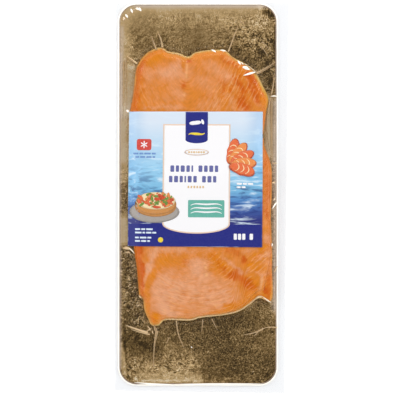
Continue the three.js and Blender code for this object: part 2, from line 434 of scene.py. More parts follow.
pile_height = np.interp(in_fish, [0, 1.3, 2.4],
                        [PILE["edge"] * EDGE_SHARE, PILE["edge"], PILE["edge"] + 0.15])
top_step = PILE["top_slice"] * ease(in_top, -1.6, 4.2) + PILE["crown"] * np.clip((in_top - 4) / 24, 0, 1)
lap_swell = PILE["lap"] * bell(Y - LAP_LINE["y"], LAP_LINE["half_width"]) * ease(in_fish, 0, 8)
unevenness = 0.22 * noise(X, Y, 17, 8) * ease(in_fish, 2, 12)
fish_height = np.where(in_fish > 0, pile_height + top_step + lap_swell + unevenness, tent_height())

card_step = SEAM_HEIGHT + (CARD["top"] - SEAM_HEIGHT) * ease(in_card(X, Y), -0.9, 0.1)
form = blur(card_step + fish_height, 0.8)
print("highest point of the film, mm:", round(float(form.max()), 1))

# %% [markdown]
# ## Materials
#
# A finish is a small network of nodes. The same few links recur in all of them, so they have helpers: one
# that makes a node and joins its inputs, one that reads a number kept on the points, and one for ramps.
# Patterns read Object coordinates, which are metres from the pack's middle, so a noise scale of 500 makes
# marks 2 mm wide.

# %% Node helpers
class Finish:
    """A material's nodes, with short ways to add and join them."""

    def __init__(self, name):
        self.material = bpy.data.materials.new(name)
        self.material.use_nodes = True
        self.nodes, self.links = self.material.node_tree.nodes, self.material.node_tree.links
        self.shader = self.nodes["Principled BSDF"]
        self.output = self.nodes["Material Output"]
        self.place = self.add("TexCoord").outputs["Object"]

    def add(self, kind, inputs=None, **settings):
        node = self.nodes.new("ShaderNode" + kind)
        for key, value in settings.items():
            setattr(node, key, value)
        for key, value in (inputs or {}).items():
            self.feed(node.inputs[key], value)
        return node

    def feed(self, socket, value):
        if isinstance(value, bpy.types.NodeSocket):
            self.links.new(value, socket)
        else:
            socket.default_value = value

    def math(self, operation, a, b=0.0):
        return self.add("Math", {0: a, 1: b}, operation=operation).outputs[0]

    def times(self, a, b):
        return self.math("MULTIPLY", a, b)

    def value(self, name):
        return self.add("Attribute", attribute_name=name).outputs["Fac"]

    def noise(self, scale, detail=2.0, rough=0.5, warp=0.0, place=None):
        inputs = {"Vector": place or self.place, "Scale": scale, "Detail": detail, "Roughness": rough,
                  "Distortion": warp}
        return self.add("TexNoise", inputs).outputs["Fac"]

    def vector(self, name):
        return self.add("Attribute", attribute_name=name).outputs["Vector"]

    def part(self, vector, axis):
        return self.add("SeparateXYZ", {0: vector}).outputs[axis]

    def stretch(self, place, scale):
        return self.add("Mapping", {"Vector": place, "Scale": scale}).outputs[0]

    def ramp(self, factor, *stops):
        node = self.add("ValToRGB", {0: factor})
        elements = node.color_ramp.elements
        while len(elements) < len(stops):
            elements.new(0.5)
        for element, (position, colour) in zip(elements, stops):
            element.position, element.color = position, colour
        return node.outputs[0]

    def level(self, value, low, high, to_low=0.0, to_high=1.0):
        inputs = {"Value": value, "From Min": low, "From Max": high, "To Min": to_low, "To Max": to_high}
        return self.add("MapRange", inputs, interpolation_type="SMOOTHSTEP").outputs[0]

    def lines(self, value, middle, half_width):
        """1 where a value passes the middle, sinking to 0 at the half width to both sides."""
        offset = self.math("ABSOLUTE", self.math("SUBTRACT", value, middle))
        return self.level(offset, 0.0, half_width, 1.0, 0.0)

    def total(self, *terms):
        """The sum of (value, weight) pairs."""
        answer = None
        for value, weight in terms:
            term = self.times(value, weight)
            answer = term if answer is None else self.math("ADD", answer, term)
        return answer

    def blend(self, share, a, b):
        """From one number to another by a share between 0 and 1."""
        return self.add("Mix", {0: share, 2: a, 3: b}, data_type="FLOAT").outputs[0]

    def mix(self, factor, a, b):
        return self.add("Mix", {0: factor, 6: a, 7: b}, data_type="RGBA").outputs[2]

    def bump(self, height, strength, distance_mm):
        inputs = {"Height": height, "Strength": strength, "Distance": distance_mm * MM}
        return self.add("Bump", inputs).outputs[0]

    def set(self, **inputs):
        for key, value in inputs.items():
            self.feed(self.shader.inputs[key.replace("_", " ")], value)
        return self.material


# %% [markdown]
# ## The gold card
#
# The card is stiff board with metal foil on its face. The foil is creased all over in fine worm-shaped
# wrinkles a millimetre or two apart, which run round the fish. Near the top and the sides the film pulls the
# card down: there it is smooth and leans to the bright walls, and its sheen from them is painted into the
# colour, as are darker patches elsewhere. So each point of the mesh keeps how much painted sheen or shade
# the foil has, how calm it is, whether its wrinkles are fine or pillowed, how much painted grey sheen of the
# film lies on it, how far in from the card's edge it lies, and its place in a pattern that runs round the
# fish. Towards the card's edge the foil gives way, within about a millimetre, to the colour of bare board,
# which the back has too. The wrinkles of about two millimetres and more are relief in the mesh, and the finer
# ones are bump and colour. That colour is painted light and shade: glints, dark creases, and a lit and a
# shaded side on each crinkle.

# %% Card mesh
# Painted sheen and shade of the foil: lighter where it would mirror the bright walls, darker where it would
# mirror the dim studio overhead.
FOIL_PAINTED_SHEEN_AND_SHADE = [
    # start x, y, end x, y, radius, strength, here and in the other tables of patches
    (-55, 147, 50, 147, 5, 0.36), (-50, 142, 42, 142, 10, 0.20), (-42, 134, 25, 134, 17, 0.09),
    (-61, 70, -60, 138, 6.5, 0.42), (-55, 66, -53, 98, 4.5, 0.42), (-60, -33, -60, -17, 4, 0.62),
    (-60, 32, -60, 66, 5, 0.66), (-60, 14, -60, 26, 4, 0.34), (57, -80, 57.5, 75, 2.8, 0.34),
    (50.5, 34, 50.5, 76, 3.4, 0.70), (-50, -138, -4, -138, 4.5, 0.30), (-40, -132, -8, -131, 7, 0.08),
    (-22, -120, -12, -124, 9, 0.06), (-61.5, -112, -59, -134, 2.6, 0.40), (50, 118, 53, 60, 5, -0.10),
    (0, 118, 45, 105, 7, -0.08), (-10, 113, 10, 118, 9, 0.03), (10, -112, 52, -135, 18, -0.07),
    (-57, -45, -51, -95, 6, -0.24), (-20, -100, 40, -92, 7, -0.10), (48, 143.8, 52.6, 139.4, 2.6, -0.62),
    (56, 130, 56.6, 100, 1.4, -0.40), (30, 126, 50, 110, 12, -0.04), (-59, -92, -60, -112, 3, -0.12),
    (-50, -108, -40, -112, 6, -0.08), (56, -60, 56.6, -90, 3, 0.14), (47, 104, 53, 90, 5, -0.20),
    (-54, -108, -40, -116, 7, -0.17), (-59.6, -110, -56.6, -137, 0.9, -0.30), (0, -132, 40, -134, 6, -0.05),
    (-48, -140.6, 0, -140.6, 2.2, 0.12), (-46, -139.6, 3, -139.8, 0.7, 0.26),
    (14, -138.2, 40, -138.2, 0.7, 0.12), (-30, 123, 30, 123, 6, 0.04),
]
CALM_FOIL = [
    (-55, 146, 38, 146, 6, 0.8), (-56, 134, -52, 142, 12, 0.4), (-62, 72, -60, 138, 5, 0.4),
    (-56, 66, -54, 96, 5, 0.5), (-61, -34, -61, -18, 4, 0.9), (-61, 26, -61, 62, 4, 0.9),
    (56, -80, 57, 70, 3.2, 0.35), (51, 36, 51, 74, 4, 0.8), (-40, 128, 16, 126, 12, 0.32),
    (-8, 116, -4, 122, 8, 0.35), (-62, -112, -60, -134, 2.5, 0.3), (44, 130, 52, 104, 10, -0.6),
    (20, 133, 40, 124, 9, -0.2), (-57, -46, -50, -94, 7, -0.9), (-50, -128, -8, -125, 8, -0.9),
    (-50, -110, -40, -122, 9, 0.2),
]
PILLOWED_FOIL = [
    (20, 128, 50, 114, 12, 1.0), (-20, 124, 20, 120, 11, 0.6), (-50, 128, -40, 116, 10, 0.5),
    (-58, 60, -57, 20, 5, 0.6), (-40, -132, -12, -130, 7, 0.7), (-56, -30, -56, -20, 5, 0.5),
]
FINE_FOIL = [
    (0, -104, 52, -134, 26, 1.0), (-52, -122, -30, -128, 10, 0.6), (-30, -100, 30, -98, 10, 0.6),
]
# Painted pale grey sheen of the film where it spans the card's edges.
FILM_SHEEN_GREY_AT = [
    (56.4, -84, 56.6, 72, 2.8, 1.0), (-62.6, -130, -62.4, 110, 0.9, 0.6), (-50, 146.9, 48, 146.9, 1.8, 0.8),
    (-61.6, 62, -61.4, 130, 1.4, 0.5),
]
FOIL_TURNS = {"low": -50, "high": 70, "x": -3, "radius": 60}
WEAVE_STEP = 0.4
CARD_BACK_HEIGHT = 0.16
CARD_FILM_GAP = 0.14
CRINKLE_SIZES = {"coarse": 3.6, "fine": 1.9}


def rounded_rows(x0, x1, y0, y1, radius, step):
    """Points in rows over a rectangle with round corners. A row at height y reaches out to where a circle
    at the corner is, and the rows crowd together at the ends, where that circle runs level."""
    turn = np.linspace(0, np.pi / 2, max(4, int(1.6 * radius / step)))
    middle = np.linspace(y0 + radius, y1 - radius, max(2, int((y1 - y0 - 2 * radius) / step)))
    rows = np.concatenate([y0 + radius * (1 - np.cos(turn[:-1])), middle,
                           y1 - radius * (1 - np.cos(turn[-2::-1]))])
    past = np.maximum(np.maximum(y0 + radius - rows, rows - y1 + radius), 0)
    pull = radius - np.sqrt(np.maximum(radius**2 - past**2, 0))
    share = np.linspace(0, 1, max(3, int((x1 - x0) / step)))
    across = (x0 + pull)[:, None] + share * (x1 - x0 - 2 * pull)[:, None]
    return across, np.repeat(rows[:, None], len(share), 1)


def foil_weave(x, y):
    """A place in the foil's pattern: millimetres round the fish, millimetres away from it, and a slow third
    number that keeps its left and right side from being mirror images."""
    end = np.clip(y, FOIL_TURNS["low"], FOIL_TURNS["high"])
    dx, dy = x - FOIL_TURNS["x"], y - end
    turn = np.arctan2(dy, np.abs(dx)) * FOIL_TURNS["radius"]
    return np.stack([end + turn, np.hypot(dx, dy), 0.25 * x], -1).reshape(-1, 3)


def foil_values(x, y):
    """What the foil's finish reads at each place. `weave_beyond` is the pattern's place a step further down
    and right, and the difference between the two tells which way a crinkle slopes, which paints its lit and
    shaded side."""
    shares = {"grey": FILM_SHEEN_GREY_AT, "fine": FINE_FOIL, "pillowed": PILLOWED_FOIL}
    return {"painted_sheen_and_shade": patches(x, y, FOIL_PAINTED_SHEEN_AND_SHADE), "calm": np.clip(patches(x, y, CALM_FOIL), -1, 1),
            **{name: np.clip(patches(x, y, rows), 0, 1) for name, rows in shares.items()},
            "depth": in_card(x, y),
            "weave": foil_weave(x, y), "weave_beyond": foil_weave(x + WEAVE_STEP, y - WEAVE_STEP)}


def card_relief(x, y):
    """Crinkles of the foil: two sizes of noise folded about zero, so that they make creases and not hills."""
    coarse = np.abs(noise(x + 3 * noise(x, y, 7, 21), y, CRINKLE_SIZES["coarse"], 22))
    fine = np.abs(noise(x, y + 1.5 * noise(x, y, 3, 23), CRINKLE_SIZES["fine"], 24))
    return -0.12 * coarse - 0.08 * fine


def build_card(material):
    left, right = CARD["x"] - CARD["width"] / 2, CARD["x"] + CARD["width"] / 2
    low, high = CARD["y"] - CARD["length"] / 2, CARD["y"] + CARD["length"] / 2
    x, y = rounded_rows(left, right, low, high, CARD["corner"], 0.76)
    depth = in_card(x, y)
    calm = np.clip(patches(x, y, CALM_FOIL), 0, 1)
    rounding = 0.2 * (1 - ease(depth, 0, 1.2))
    droop = 0.45 * (1 - ease(depth, 0, 8))
    crinkles = card_relief(x, y) * ease(depth, 0.5, 4) * (1 - 0.8 * calm)
    top = CARD["top"] - CARD_FILM_GAP + crinkles - rounding - droop
    points, faces = flat_backed(np.stack([x, y, top], -1).reshape(-1, 3), x.shape, CARD_BACK_HEIGHT)
    card = add_piece("gold_card", points, faces, material, "gold_card", "pouch")
    add_values(card, **foil_values(points[:, 0], points[:, 1]))


# %% Gold foil
FOIL_DARK, FOIL_BROWN = srgb(61, 44, 10), srgb(130, 101, 54)
FOIL_TAN, FOIL_BRIGHT = srgb(222, 186, 129), srgb(255, 238, 204)
FILM_SHEEN_GREY, BOARD_EDGE = srgb(248, 228, 208), srgb(176, 154, 138)


def gold_foil():
    foil = Finish("gold foil")
    weave, beyond, calm = foil.vector("weave"), foil.vector("weave_beyond"), foil.value("calm")
    long_weave = foil.stretch(weave, (1, 0.62, 1))
    wide_weave, wide_beyond = (foil.stretch(place, (0.6, 1, 1)) for place in (weave, beyond))
    # The light and dark marks from here on are painted reflection and shade of the crinkles: the sparks are
    # painted glints, the pits, crevices and hollows are painted shade, and the slope, the difference of the
    # pattern at two places a step apart, paints a lit and a shaded side on each crinkle.
    worms = foil.lines(foil.noise(0.34, 2, 0.55, 1.1, long_weave), 0.5, 0.055)
    threads = foil.lines(foil.noise(0.56, 1, 0.5, 1.4, long_weave), 0.47, 0.06)
    gaps = foil.level(foil.noise(0.23, 2, 0.6, 0.0, weave), 0.40, 0.62, 0.35)
    sparks = foil.level(foil.noise(1.05, 1, 0.5, 0.3, weave), 0.66, 0.78)
    pits = foil.level(foil.noise(0.5, 2, 0.6, 0.7, long_weave), 0.50, 0.34)
    drift = foil.noise(0.09, 2, 0.5, 0.0, weave)
    laced = foil.total((foil.times(worms, gaps), 0.42), (threads, 0.26), (sparks, 0.30), (pits, -0.22))
    curls = foil.lines(foil.noise(0.60, 2, 0.55, 1.4, weave), 0.5, 0.06)
    grains = foil.total((foil.noise(0.85, 2, 0.6, 0.4, weave), 1.3), (curls, 0.34), (sparks, 0.40),
                        (1.0, -0.72))
    crevice_painted_shade = foil.lines(foil.noise(0.25, 2, 0.5, 0.9, wide_weave), 0.5, 0.05)
    swells = [foil.noise(0.38, 2, 0.6, 0.8, place) for place in (wide_weave, wide_beyond)]
    slope = foil.math("SUBTRACT", *swells)
    hollow_painted_shade = foil.level(foil.noise(0.26, 3, 0.65, 0.6, wide_weave), 0.52, 0.36)
    pillows = foil.total((slope, 1.9), (crevice_painted_shade, -0.26), (hollow_painted_shade, -0.26), (threads, 0.16), (1.0, 0.17))
    painted_crinkle_light_and_shade = foil.blend(foil.value("pillowed"), foil.blend(foil.value("fine"), laced, grains), pillows)
    rough = foil.math("MAXIMUM", foil.math("SUBTRACT", 1.0, calm), 0.1)
    # The tone takes in the painted sheen and shade of the foil.
    tone = foil.total((painted_crinkle_light_and_shade, rough), (foil.value("painted_sheen_and_shade"), 0.9), (drift, 0.30), (1.0, 0.05))
    colour = foil.ramp(tone, (0.0, FOIL_DARK), (0.24, FOIL_BROWN), (0.62, FOIL_TAN), (1.0, FOIL_BRIGHT))
    # Painted sheen of the film: the foil turns pale grey where the film spans the card's edges, more so where
    # the foil is lighter.
    painted_film_sheen = foil.times(foil.value("grey"), foil.level(tone, 0.1, 0.7, 0.35))
    colour = foil.mix(painted_film_sheen, colour, FILM_SHEEN_GREY)
    board = foil.level(foil.value("depth"), 0.35, 1.2, 0.9, 0.0)
    colour = foil.mix(board, colour, BOARD_EDGE)
    relief = foil.total((worms, 0.5), (threads, 0.3), (sparks, 0.3), (pits, -0.6))
    height = foil.times(relief, rough)
    return foil.set(Base_Color=colour, Metallic=0.55, Roughness=0.32, Normal=foil.bump(height, 0.6, 0.22))


build_card(gold_foil())

# %% [markdown]
# ## The slices
#
# A slice is soft. It lies on what is below it, so it is made as a layer between two levels of its pile,
# each level being a share of the pile's height at that place. Where a slice ends, the one below rises to
# fill the film. Seen from its middle every slice is star-shaped, so its surface is a stack of rings: from
# a pole out to its edge over the top, and back to a pole below. Near the edge the layer closes in a
# quarter circle, like the edge of any soft sheet.

# %% Levels of the piles
SLICE_GAP = 0.02
FISH_FLOOR = CARD["top"] + SLICE_GAP
FILM_GAP = 0.16
EDGE_ROUND = 1.0
fish_room = np.maximum(form - FILM_GAP - FISH_FLOOR, 0.3)

lower_share = np.where(in_upper <= 0, 1.0, np.where(in_lower <= 0, 0.0,
                       np.maximum(in_lower, 0) / np.maximum(in_upper + in_lower, 1e-6)))
PILES = {
    "upper_slice": {"edge": in_upper, "top_edge": in_upper_top, "centre": (-3, 60),
                    "floor": FISH_FLOOR + fish_room * np.where(in_upper > 0, lower_share, 0),
                    "roof": FISH_FLOOR + fish_room},
    "lower_slice": {"edge": in_lower, "top_edge": in_lower_top, "centre": (0, -30),
                    "floor": np.full(X.shape, FISH_FLOOR),
                    "roof": FISH_FLOOR + fish_room * np.where(in_upper > 0, lower_share, 1)},
}


def slice_layers(pile):
    """A pile's three slices from the top down, as (distance inside its edge, floor, roof) charts."""
    floor, roof = pile["floor"], pile["roof"]
    height = roof - floor
    has_top = 0.08 * ease(pile["top_edge"], -0.6, -0.1) + 0.92 * ease(pile["top_edge"], 0, 2.2)
    middle_edge = pile["edge"] - 0.25 - 0.25 * noise(X, Y, 11, 31)
    bottom_edge = pile["edge"] - 0.5 - 0.4 * noise(X, Y, 13, 32)
    second = roof - has_top * height / 3
    third = floor + (second - floor) / 2
    return [(pile["top_edge"], second, roof), (middle_edge, third, second), (bottom_edge, floor, third)]


def edge_radius(chart, centre, angles):
    """How far out from a centre a slice reaches in each direction: the last sampled place inside it."""
    reach = np.arange(0, 130, 0.1)
    x = centre[0] + reach[:, None] * np.cos(angles)
    y = centre[1] + reach[:, None] * np.sin(angles)
    inside = read_chart(chart, x, y) > 0
    return reach[len(reach) - 1 - np.argmax(inside[::-1], axis=0)]


def slice_surface(layer, centre, around, rings):
    """Rings over the top of a slice and back below it. A layer's half thickness closes to nothing at the
    edge as a quarter circle, so both sides meet there in one rim."""
    edge, floor, roof = layer
    angles = np.linspace(0, 2 * np.pi, around, endpoint=False)
    radius = edge_radius(edge, centre, angles)
    top_share = np.linspace(0, 1, rings + 1)[1:] ** 0.85
    share = np.concatenate([top_share, np.linspace(1, 0, rings // 6 + 1)[1:-1]])
    x = centre[0] + share[:, None] * radius * np.cos(angles)
    y = centre[1] + share[:, None] * radius * np.sin(angles)
    inset = np.maximum(read_chart(edge, x, y), 0)
    inset[rings - 1] = 0
    closing = np.sqrt(1 - (1 - np.clip(inset / EDGE_ROUND, 0, 1)) ** 2)
    low, high = read_chart(floor, x, y) + SLICE_GAP, read_chart(roof, x, y) - SLICE_GAP
    side = np.where(np.arange(len(share)) < rings, 1, -1)[:, None]
    return np.stack([x, y, (low + high) / 2 + side * closing * (high - low) / 2], -1)


# %% [markdown]
# ## How salmon is marked
#
# Salmon muscle is a row of thin cone-shaped flakes with pale fat between them. A slanting cut shows them as
# nested lines: a spread V in the upper pile, and in the lower one arcs round a point near the label, with
# a crossing fan at the right. So each slice keeps a weave: its first number, the grain, is in millimetres
# and equal all along one fat line, and the material draws a pale line wherever it passes a whole step.
# Each point also keeps how pale its flesh is (tone) and how deep a red, how clearly it is lined, where sharp
# pale marks of fat are, and how far it is from the fish's edge and from its own slice's edge.

# %% Grain and tone of the flesh
V_AXIS = {"x": -11.7, "slope": 2.1, "rounding": 7}
ARC_CENTRE = {"x": -2, "y": -36, "squash": 0.8, "radius": 40}
CROSS_FAN = {"x": 28, "width": 6, "slope": 0.85}
GRAIN_STEP = 3.2
PALE_AND_GOLDEN = [
    # start x, y, end x, y, radius, strength: pinkish pale patches are positive and golden ones negative
    (-24, 94, -18, 98, 8, 0.46), (-40, 94, -32, 92, 6, 0.20), (-44, 84, -40, 78, 5, 0.10),
    (6, 101, 20, 92, 6, 0.20), (-14.6, 104.5, -14.4, 98, 2.2, -0.4), (-24, 107, 4, 108, 3, -0.14),
    (-40, 104, -30, 109, 4, -0.3), (-8, 94, -2, 80, 6, -0.12), (-24, 88, -26, 82, 6, -0.16),
    (-24, 83, -16, 78, 4, 0.26), (-30, 75, -22, 71, 4, 0.08), (19.6, 70, 22, 76, 3, 0.2),
    (-44, 68.6, -14, 69, 1.7, 0.25), (-49, 94, -51, 70, 4, -0.3), (-2, 90, 5, 84, 7, 0.16),
    (0, 68, 12, 72, 4, 0.12), (44, 90, 49.5, 72, 2.8, -0.5), (14, 84, 24, 92, 4, 0.10),
    (40, 76, 44, 70, 2.2, 0.3), (34, 90, 38, 82, 2, 0.3), (-35.6, -40, -40.6, -54, 3.6, 0.5),
    (-40.6, -54, -43.8, -67, 2.6, 0.32), (-37, -56, -41.6, -66, 2.4, -0.4),
    (-42.3, -68, -43.4, -92, 2.6, -0.35), (-34.4, -92, -35.4, -96, 2.2, -0.4),
    (-31.8, -48, -14, -50, 6.0, -0.30), (-30, -39, -14, -39.4, 2.4, 0.30),
    (-14, -44.6, -2, -43.6, 2.2, -0.3), (-12, -66, 12, -76, 20, 0.46), (-32, -66, -30, -84, 9, 0.34),
    (-9.5, -47, -2, -54, 5, 0.3), (16, -47, 27, -54.6, 2.4, 0.42), (28.5, -56, 50, -57.8, 1.9, 0.36),
    (34.9, -54, 51, -41.5, 1.7, 0.35), (30, -43, 40, -37, 1.6, 0.2), (45.8, -60, 43.0, -75, 1.6, 0.5),
    (-29, -86, -22, -89, 4, 0.2), (40, -44, 50, -37, 2, -0.4), (37, -52, 49, -45, 1.6, -0.5),
    (51, 8, 51, -2, 3, 0.3), (50, -30, 52, -36, 2.5, 0.4), (7, -44, 16, -50, 3, -0.35),
    (14, -52, 40, -72, 7, -0.25), (8, -87.4, 30, -83.4, 2.4, -0.35), (30, -83, 42, -77.4, 2, -0.3),
    (34, -52, 46, -68, 8, -0.3), (20, -86, 42, -76, 4, -0.4), (-36, -92, -36, -99, 4, -0.5),
    (30, 92, 44, 74, 8, -0.16),
]
DEEP_RED_AND_SHADE_AT = [
    # the same, for flesh that is a deep red-orange; the long row at x 48 beside the label's right edge is
    # partly painted shade of the label and of the fish's sloping edge
    (-14, 85.6, -13.6, 84.6, 2.8, 0.7), (0.5, 77, 8, 79, 1.6, 0.3), (-10.4, 106, -9.6, 103, 1.8, 0.8),
    (15, 107.6, 17, 104, 3.0, 0.5), (22, 103.5, 27, 99, 2.4, 0.5), (35, 93, 41, 88, 2.4, 0.9),
    (27.3, 88, 31, 80, 3.2, 0.5), (29.6, 73, 33, 68, 3.6, 0.8), (14, 90, 18, 78, 3, 0.3),
    (24, 90, 36, 76, 9, 0.24), (37, 85, 43, 74, 2.6, 0.6), (46, 82, 48, 74, 2.0, 0.3),
    (-13.6, -48.4, -11.6, -49.4, 2.2, 0.35), (8, -43.6, 13.5, -49.2, 2.6, 0.35),
    (14.3, -53, 22.7, -60.4, 3.0, 0.5), (25.8, -58.3, 38.4, -68.6, 4.4, 0.75),
    (31.6, -46.6, 31.6, -48.6, 2.8, 1.0), (19.6, -40, 26, -42, 3.0, 0.5),
    (36.5, -49.5, 46, -40.5, 1.2, 0.3), (50.4, -62, 50.4, -78, 2.4, 0.6), (47.8, -68, 48.4, -72, 1.4, 0.8),
    (18, -87.8, 38, -79.4, 2.6, 0.35), (-16, -91, 10, -88.6, 1.8, 0.2), (50, 60, 50, 40, 2.4, 0.3),
    (48.4, 34, 48.2, -12, 3.6, 0.5), (51.4, 12, 51.6, 2, 2, 0.3), (50, -12, 50.5, -28, 2.0, 0.25),
    (-49, -38, -48, -52, 4.2, 0.9), (-47.4, -52, -46.2, -64, 2.6, 1.0), (-45.8, -64, -45.4, -74, 1.6, 0.6),
    (-40, -92, -36, -95, 2.4, 0.3), (-48.2, 97, -50.8, 66, 4.4, 0.55), (-42, 107, -47, 99, 3.2, 0.35),
    (38, 92, 46, 80, 3, 0.2),
]
FAT_MARKS = [
    # the same, for the sharp pale marks: the cut through the backbone's fat, and drops of fat
    (-11.7, 101.4, -12.1, 91.6, 0.8, 0.6), (-13.5, 79.4, -13.6, 77.6, 0.8, 0.5),
    (-15.1, 74.4, -15.0, 73.8, 0.9, 0.4), (2.6, -53.0, 2.6, -53.2, 0.9, 1.0),
    (3.2, -58.4, 3.1, -58.7, 1.0, 1.0), (1.7, -49.8, 1.8, -50.0, 0.7, 0.6),
    (-29, -85, -28.4, -88, 0.8, 0.4), (-23.6, -84, -23.2, -86, 0.8, 0.4),
    (9.6, -81.8, 10.2, -82.2, 0.8, 0.5), (45.6, -62, 43.0, -75.6, 1.1, 0.55),
]
LINED = [
    # the same, for flesh whose fat lines and streaks show clearly
    (22, 106, 29, 98, 5, 0.9), (12, 72, 24, 90, 7, 0.9), (30, 74, 44, 88, 7, 0.7), (-46, 80, -36, 70, 6, 0.3),
    (-20, -76, 18, -78, 11, 0.55), (-30, -60, -24, -76, 7, 0.35), (24, -76, 34, -70, 6, 0.6),
    (10, -46, 24, -62, 6, 0.6), (36, -54, 50, -44, 8, 0.8), (-34, -44, -20, -42, 4, 0.3),
]


def weave_at(x, y):
    """Millimetres across the fat lines and along them, which are the two axes of the flesh. Upper pile:
    height less a multiple of the distance from an upright axis makes a V. Lower pile: distance from a
    centre makes arcs, which give way to slanting lines at the right."""
    across = np.sqrt((x - V_AXIS["x"]) ** 2 + V_AXIS["rounding"] ** 2)
    veed = (y - V_AXIS["slope"] * across) / 2.2, (across + V_AXIS["slope"] * y) / 2.2
    dx, dy = (x - ARC_CENTRE["x"]) * ARC_CENTRE["squash"], y - ARC_CENTRE["y"]
    arcs = -np.hypot(dx, dy), np.arctan2(dx, -dy) * ARC_CENTRE["radius"]
    slope = CROSS_FAN["slope"]
    fan = (y - slope * x) * 0.76, (x + slope * y) * 0.76
    fanned = ease(x, CROSS_FAN["x"] - CROSS_FAN["width"], CROSS_FAN["x"] + CROSS_FAN["width"])
    upper = y > LAP_LINE["y"]
    grain, along = (np.where(upper, v, a + (f - a) * fanned) for v, a, f in zip(veed, arcs, fan))
    return np.stack([grain + 0.8 * noise(x, y, 13, 41) + 0.4 * noise(x, y, 5, 42), along, 0 * grain], -1)


def tone_at(x, y):
    """How pale the flesh is, from golden at 0 to pinkish at 1, and how deep a red: both are listed patches,
    their outlines made ragged by noise."""
    ragged_x = x + 1.3 * noise(x, y, 3.4, 46) + 0.7 * noise(x, y, 1.4, 48)
    ragged_y = y + 1.3 * noise(x, y, 3.4, 47) + 0.7 * noise(x, y, 1.4, 49)
    tone = 0.40 + 0.07 * noise(x, y, 16, 43) + 0.08 * noise(x, y, 6, 44)
    return tone + patches(ragged_x, ragged_y, PALE_AND_GOLDEN), patches(ragged_x, ragged_y, DEEP_RED_AND_SHADE_AT)


def build_slice(name, layer, centre, material, fine):
    around, rings = (700, 84) if fine else (360, 24)
    surface = slice_surface(layer, centre, around, rings)
    x, y = surface[..., 0], surface[..., 1]
    if fine:
        flakes = 1 + np.sin(2 * np.pi * weave_at(x, y)[..., 0] / GRAIN_STEP)
        relief = 0.03 * flakes * np.clip(patches(x, y, LINED), 0, 1) + 0.05 * (1 + noise(x, y, 2.2, 45))
        on_top = ease(read_chart(layer[0], x, y), 0.3, 2) * (np.arange(len(surface)) < rings)[:, None]
        surface[..., 2] -= relief * on_top
    poles = [(*centre, surface[row, :, 2].mean()) for row in (0, -1)]
    points, faces = round_solid(surface, *poles)
    piece = add_piece(name, points, faces, material, "salmon", "pouch")
    x, y = points[:, 0], points[:, 1]
    tone, deep = tone_at(x, y)
    add_values(piece, weave=weave_at(x, y), tone=tone, deep=deep, edge=read_chart(in_fish, x, y),
               own_edge=read_chart(layer[0], x, y), lined=np.clip(patches(x, y, LINED), 0, 1),
               fat=np.clip(patches(x, y, FAT_MARKS), 0, 1))


# %% [markdown]
# ## Salmon flesh
#
# The flesh is moist and lets some light through. Its colour runs from golden orange to a pale pinkish peach
# by tone, with streaks and blotches along the grain, patches of deep red-orange and thin pale fat lines. The
# outside of the fillet took the smoke, so a band along the fish's left and right edges is a stronger orange.
# The rim is golden, more like skin at the upper right, with a thin cream line at the top and the foot that is
# partly fat and partly a painted highlight of the film bending over the edge.

# %% Salmon material
GOLD, MIDDLE, PALE = srgb(226, 134, 26), srgb(224, 136, 60), srgb(233, 166, 124)
DEEP, SMOKED, FAT = srgb(206, 86, 4), srgb(207, 102, 4), srgb(246, 184, 124)
TOP_FAT_AND_HIGHLIGHT, FOOT_FAT_AND_HIGHLIGHT = srgb(244, 206, 132), srgb(255, 218, 144)
GOLDEN_RIM, SKIN_RIM = srgb(226, 152, 54), srgb(216, 168, 54)


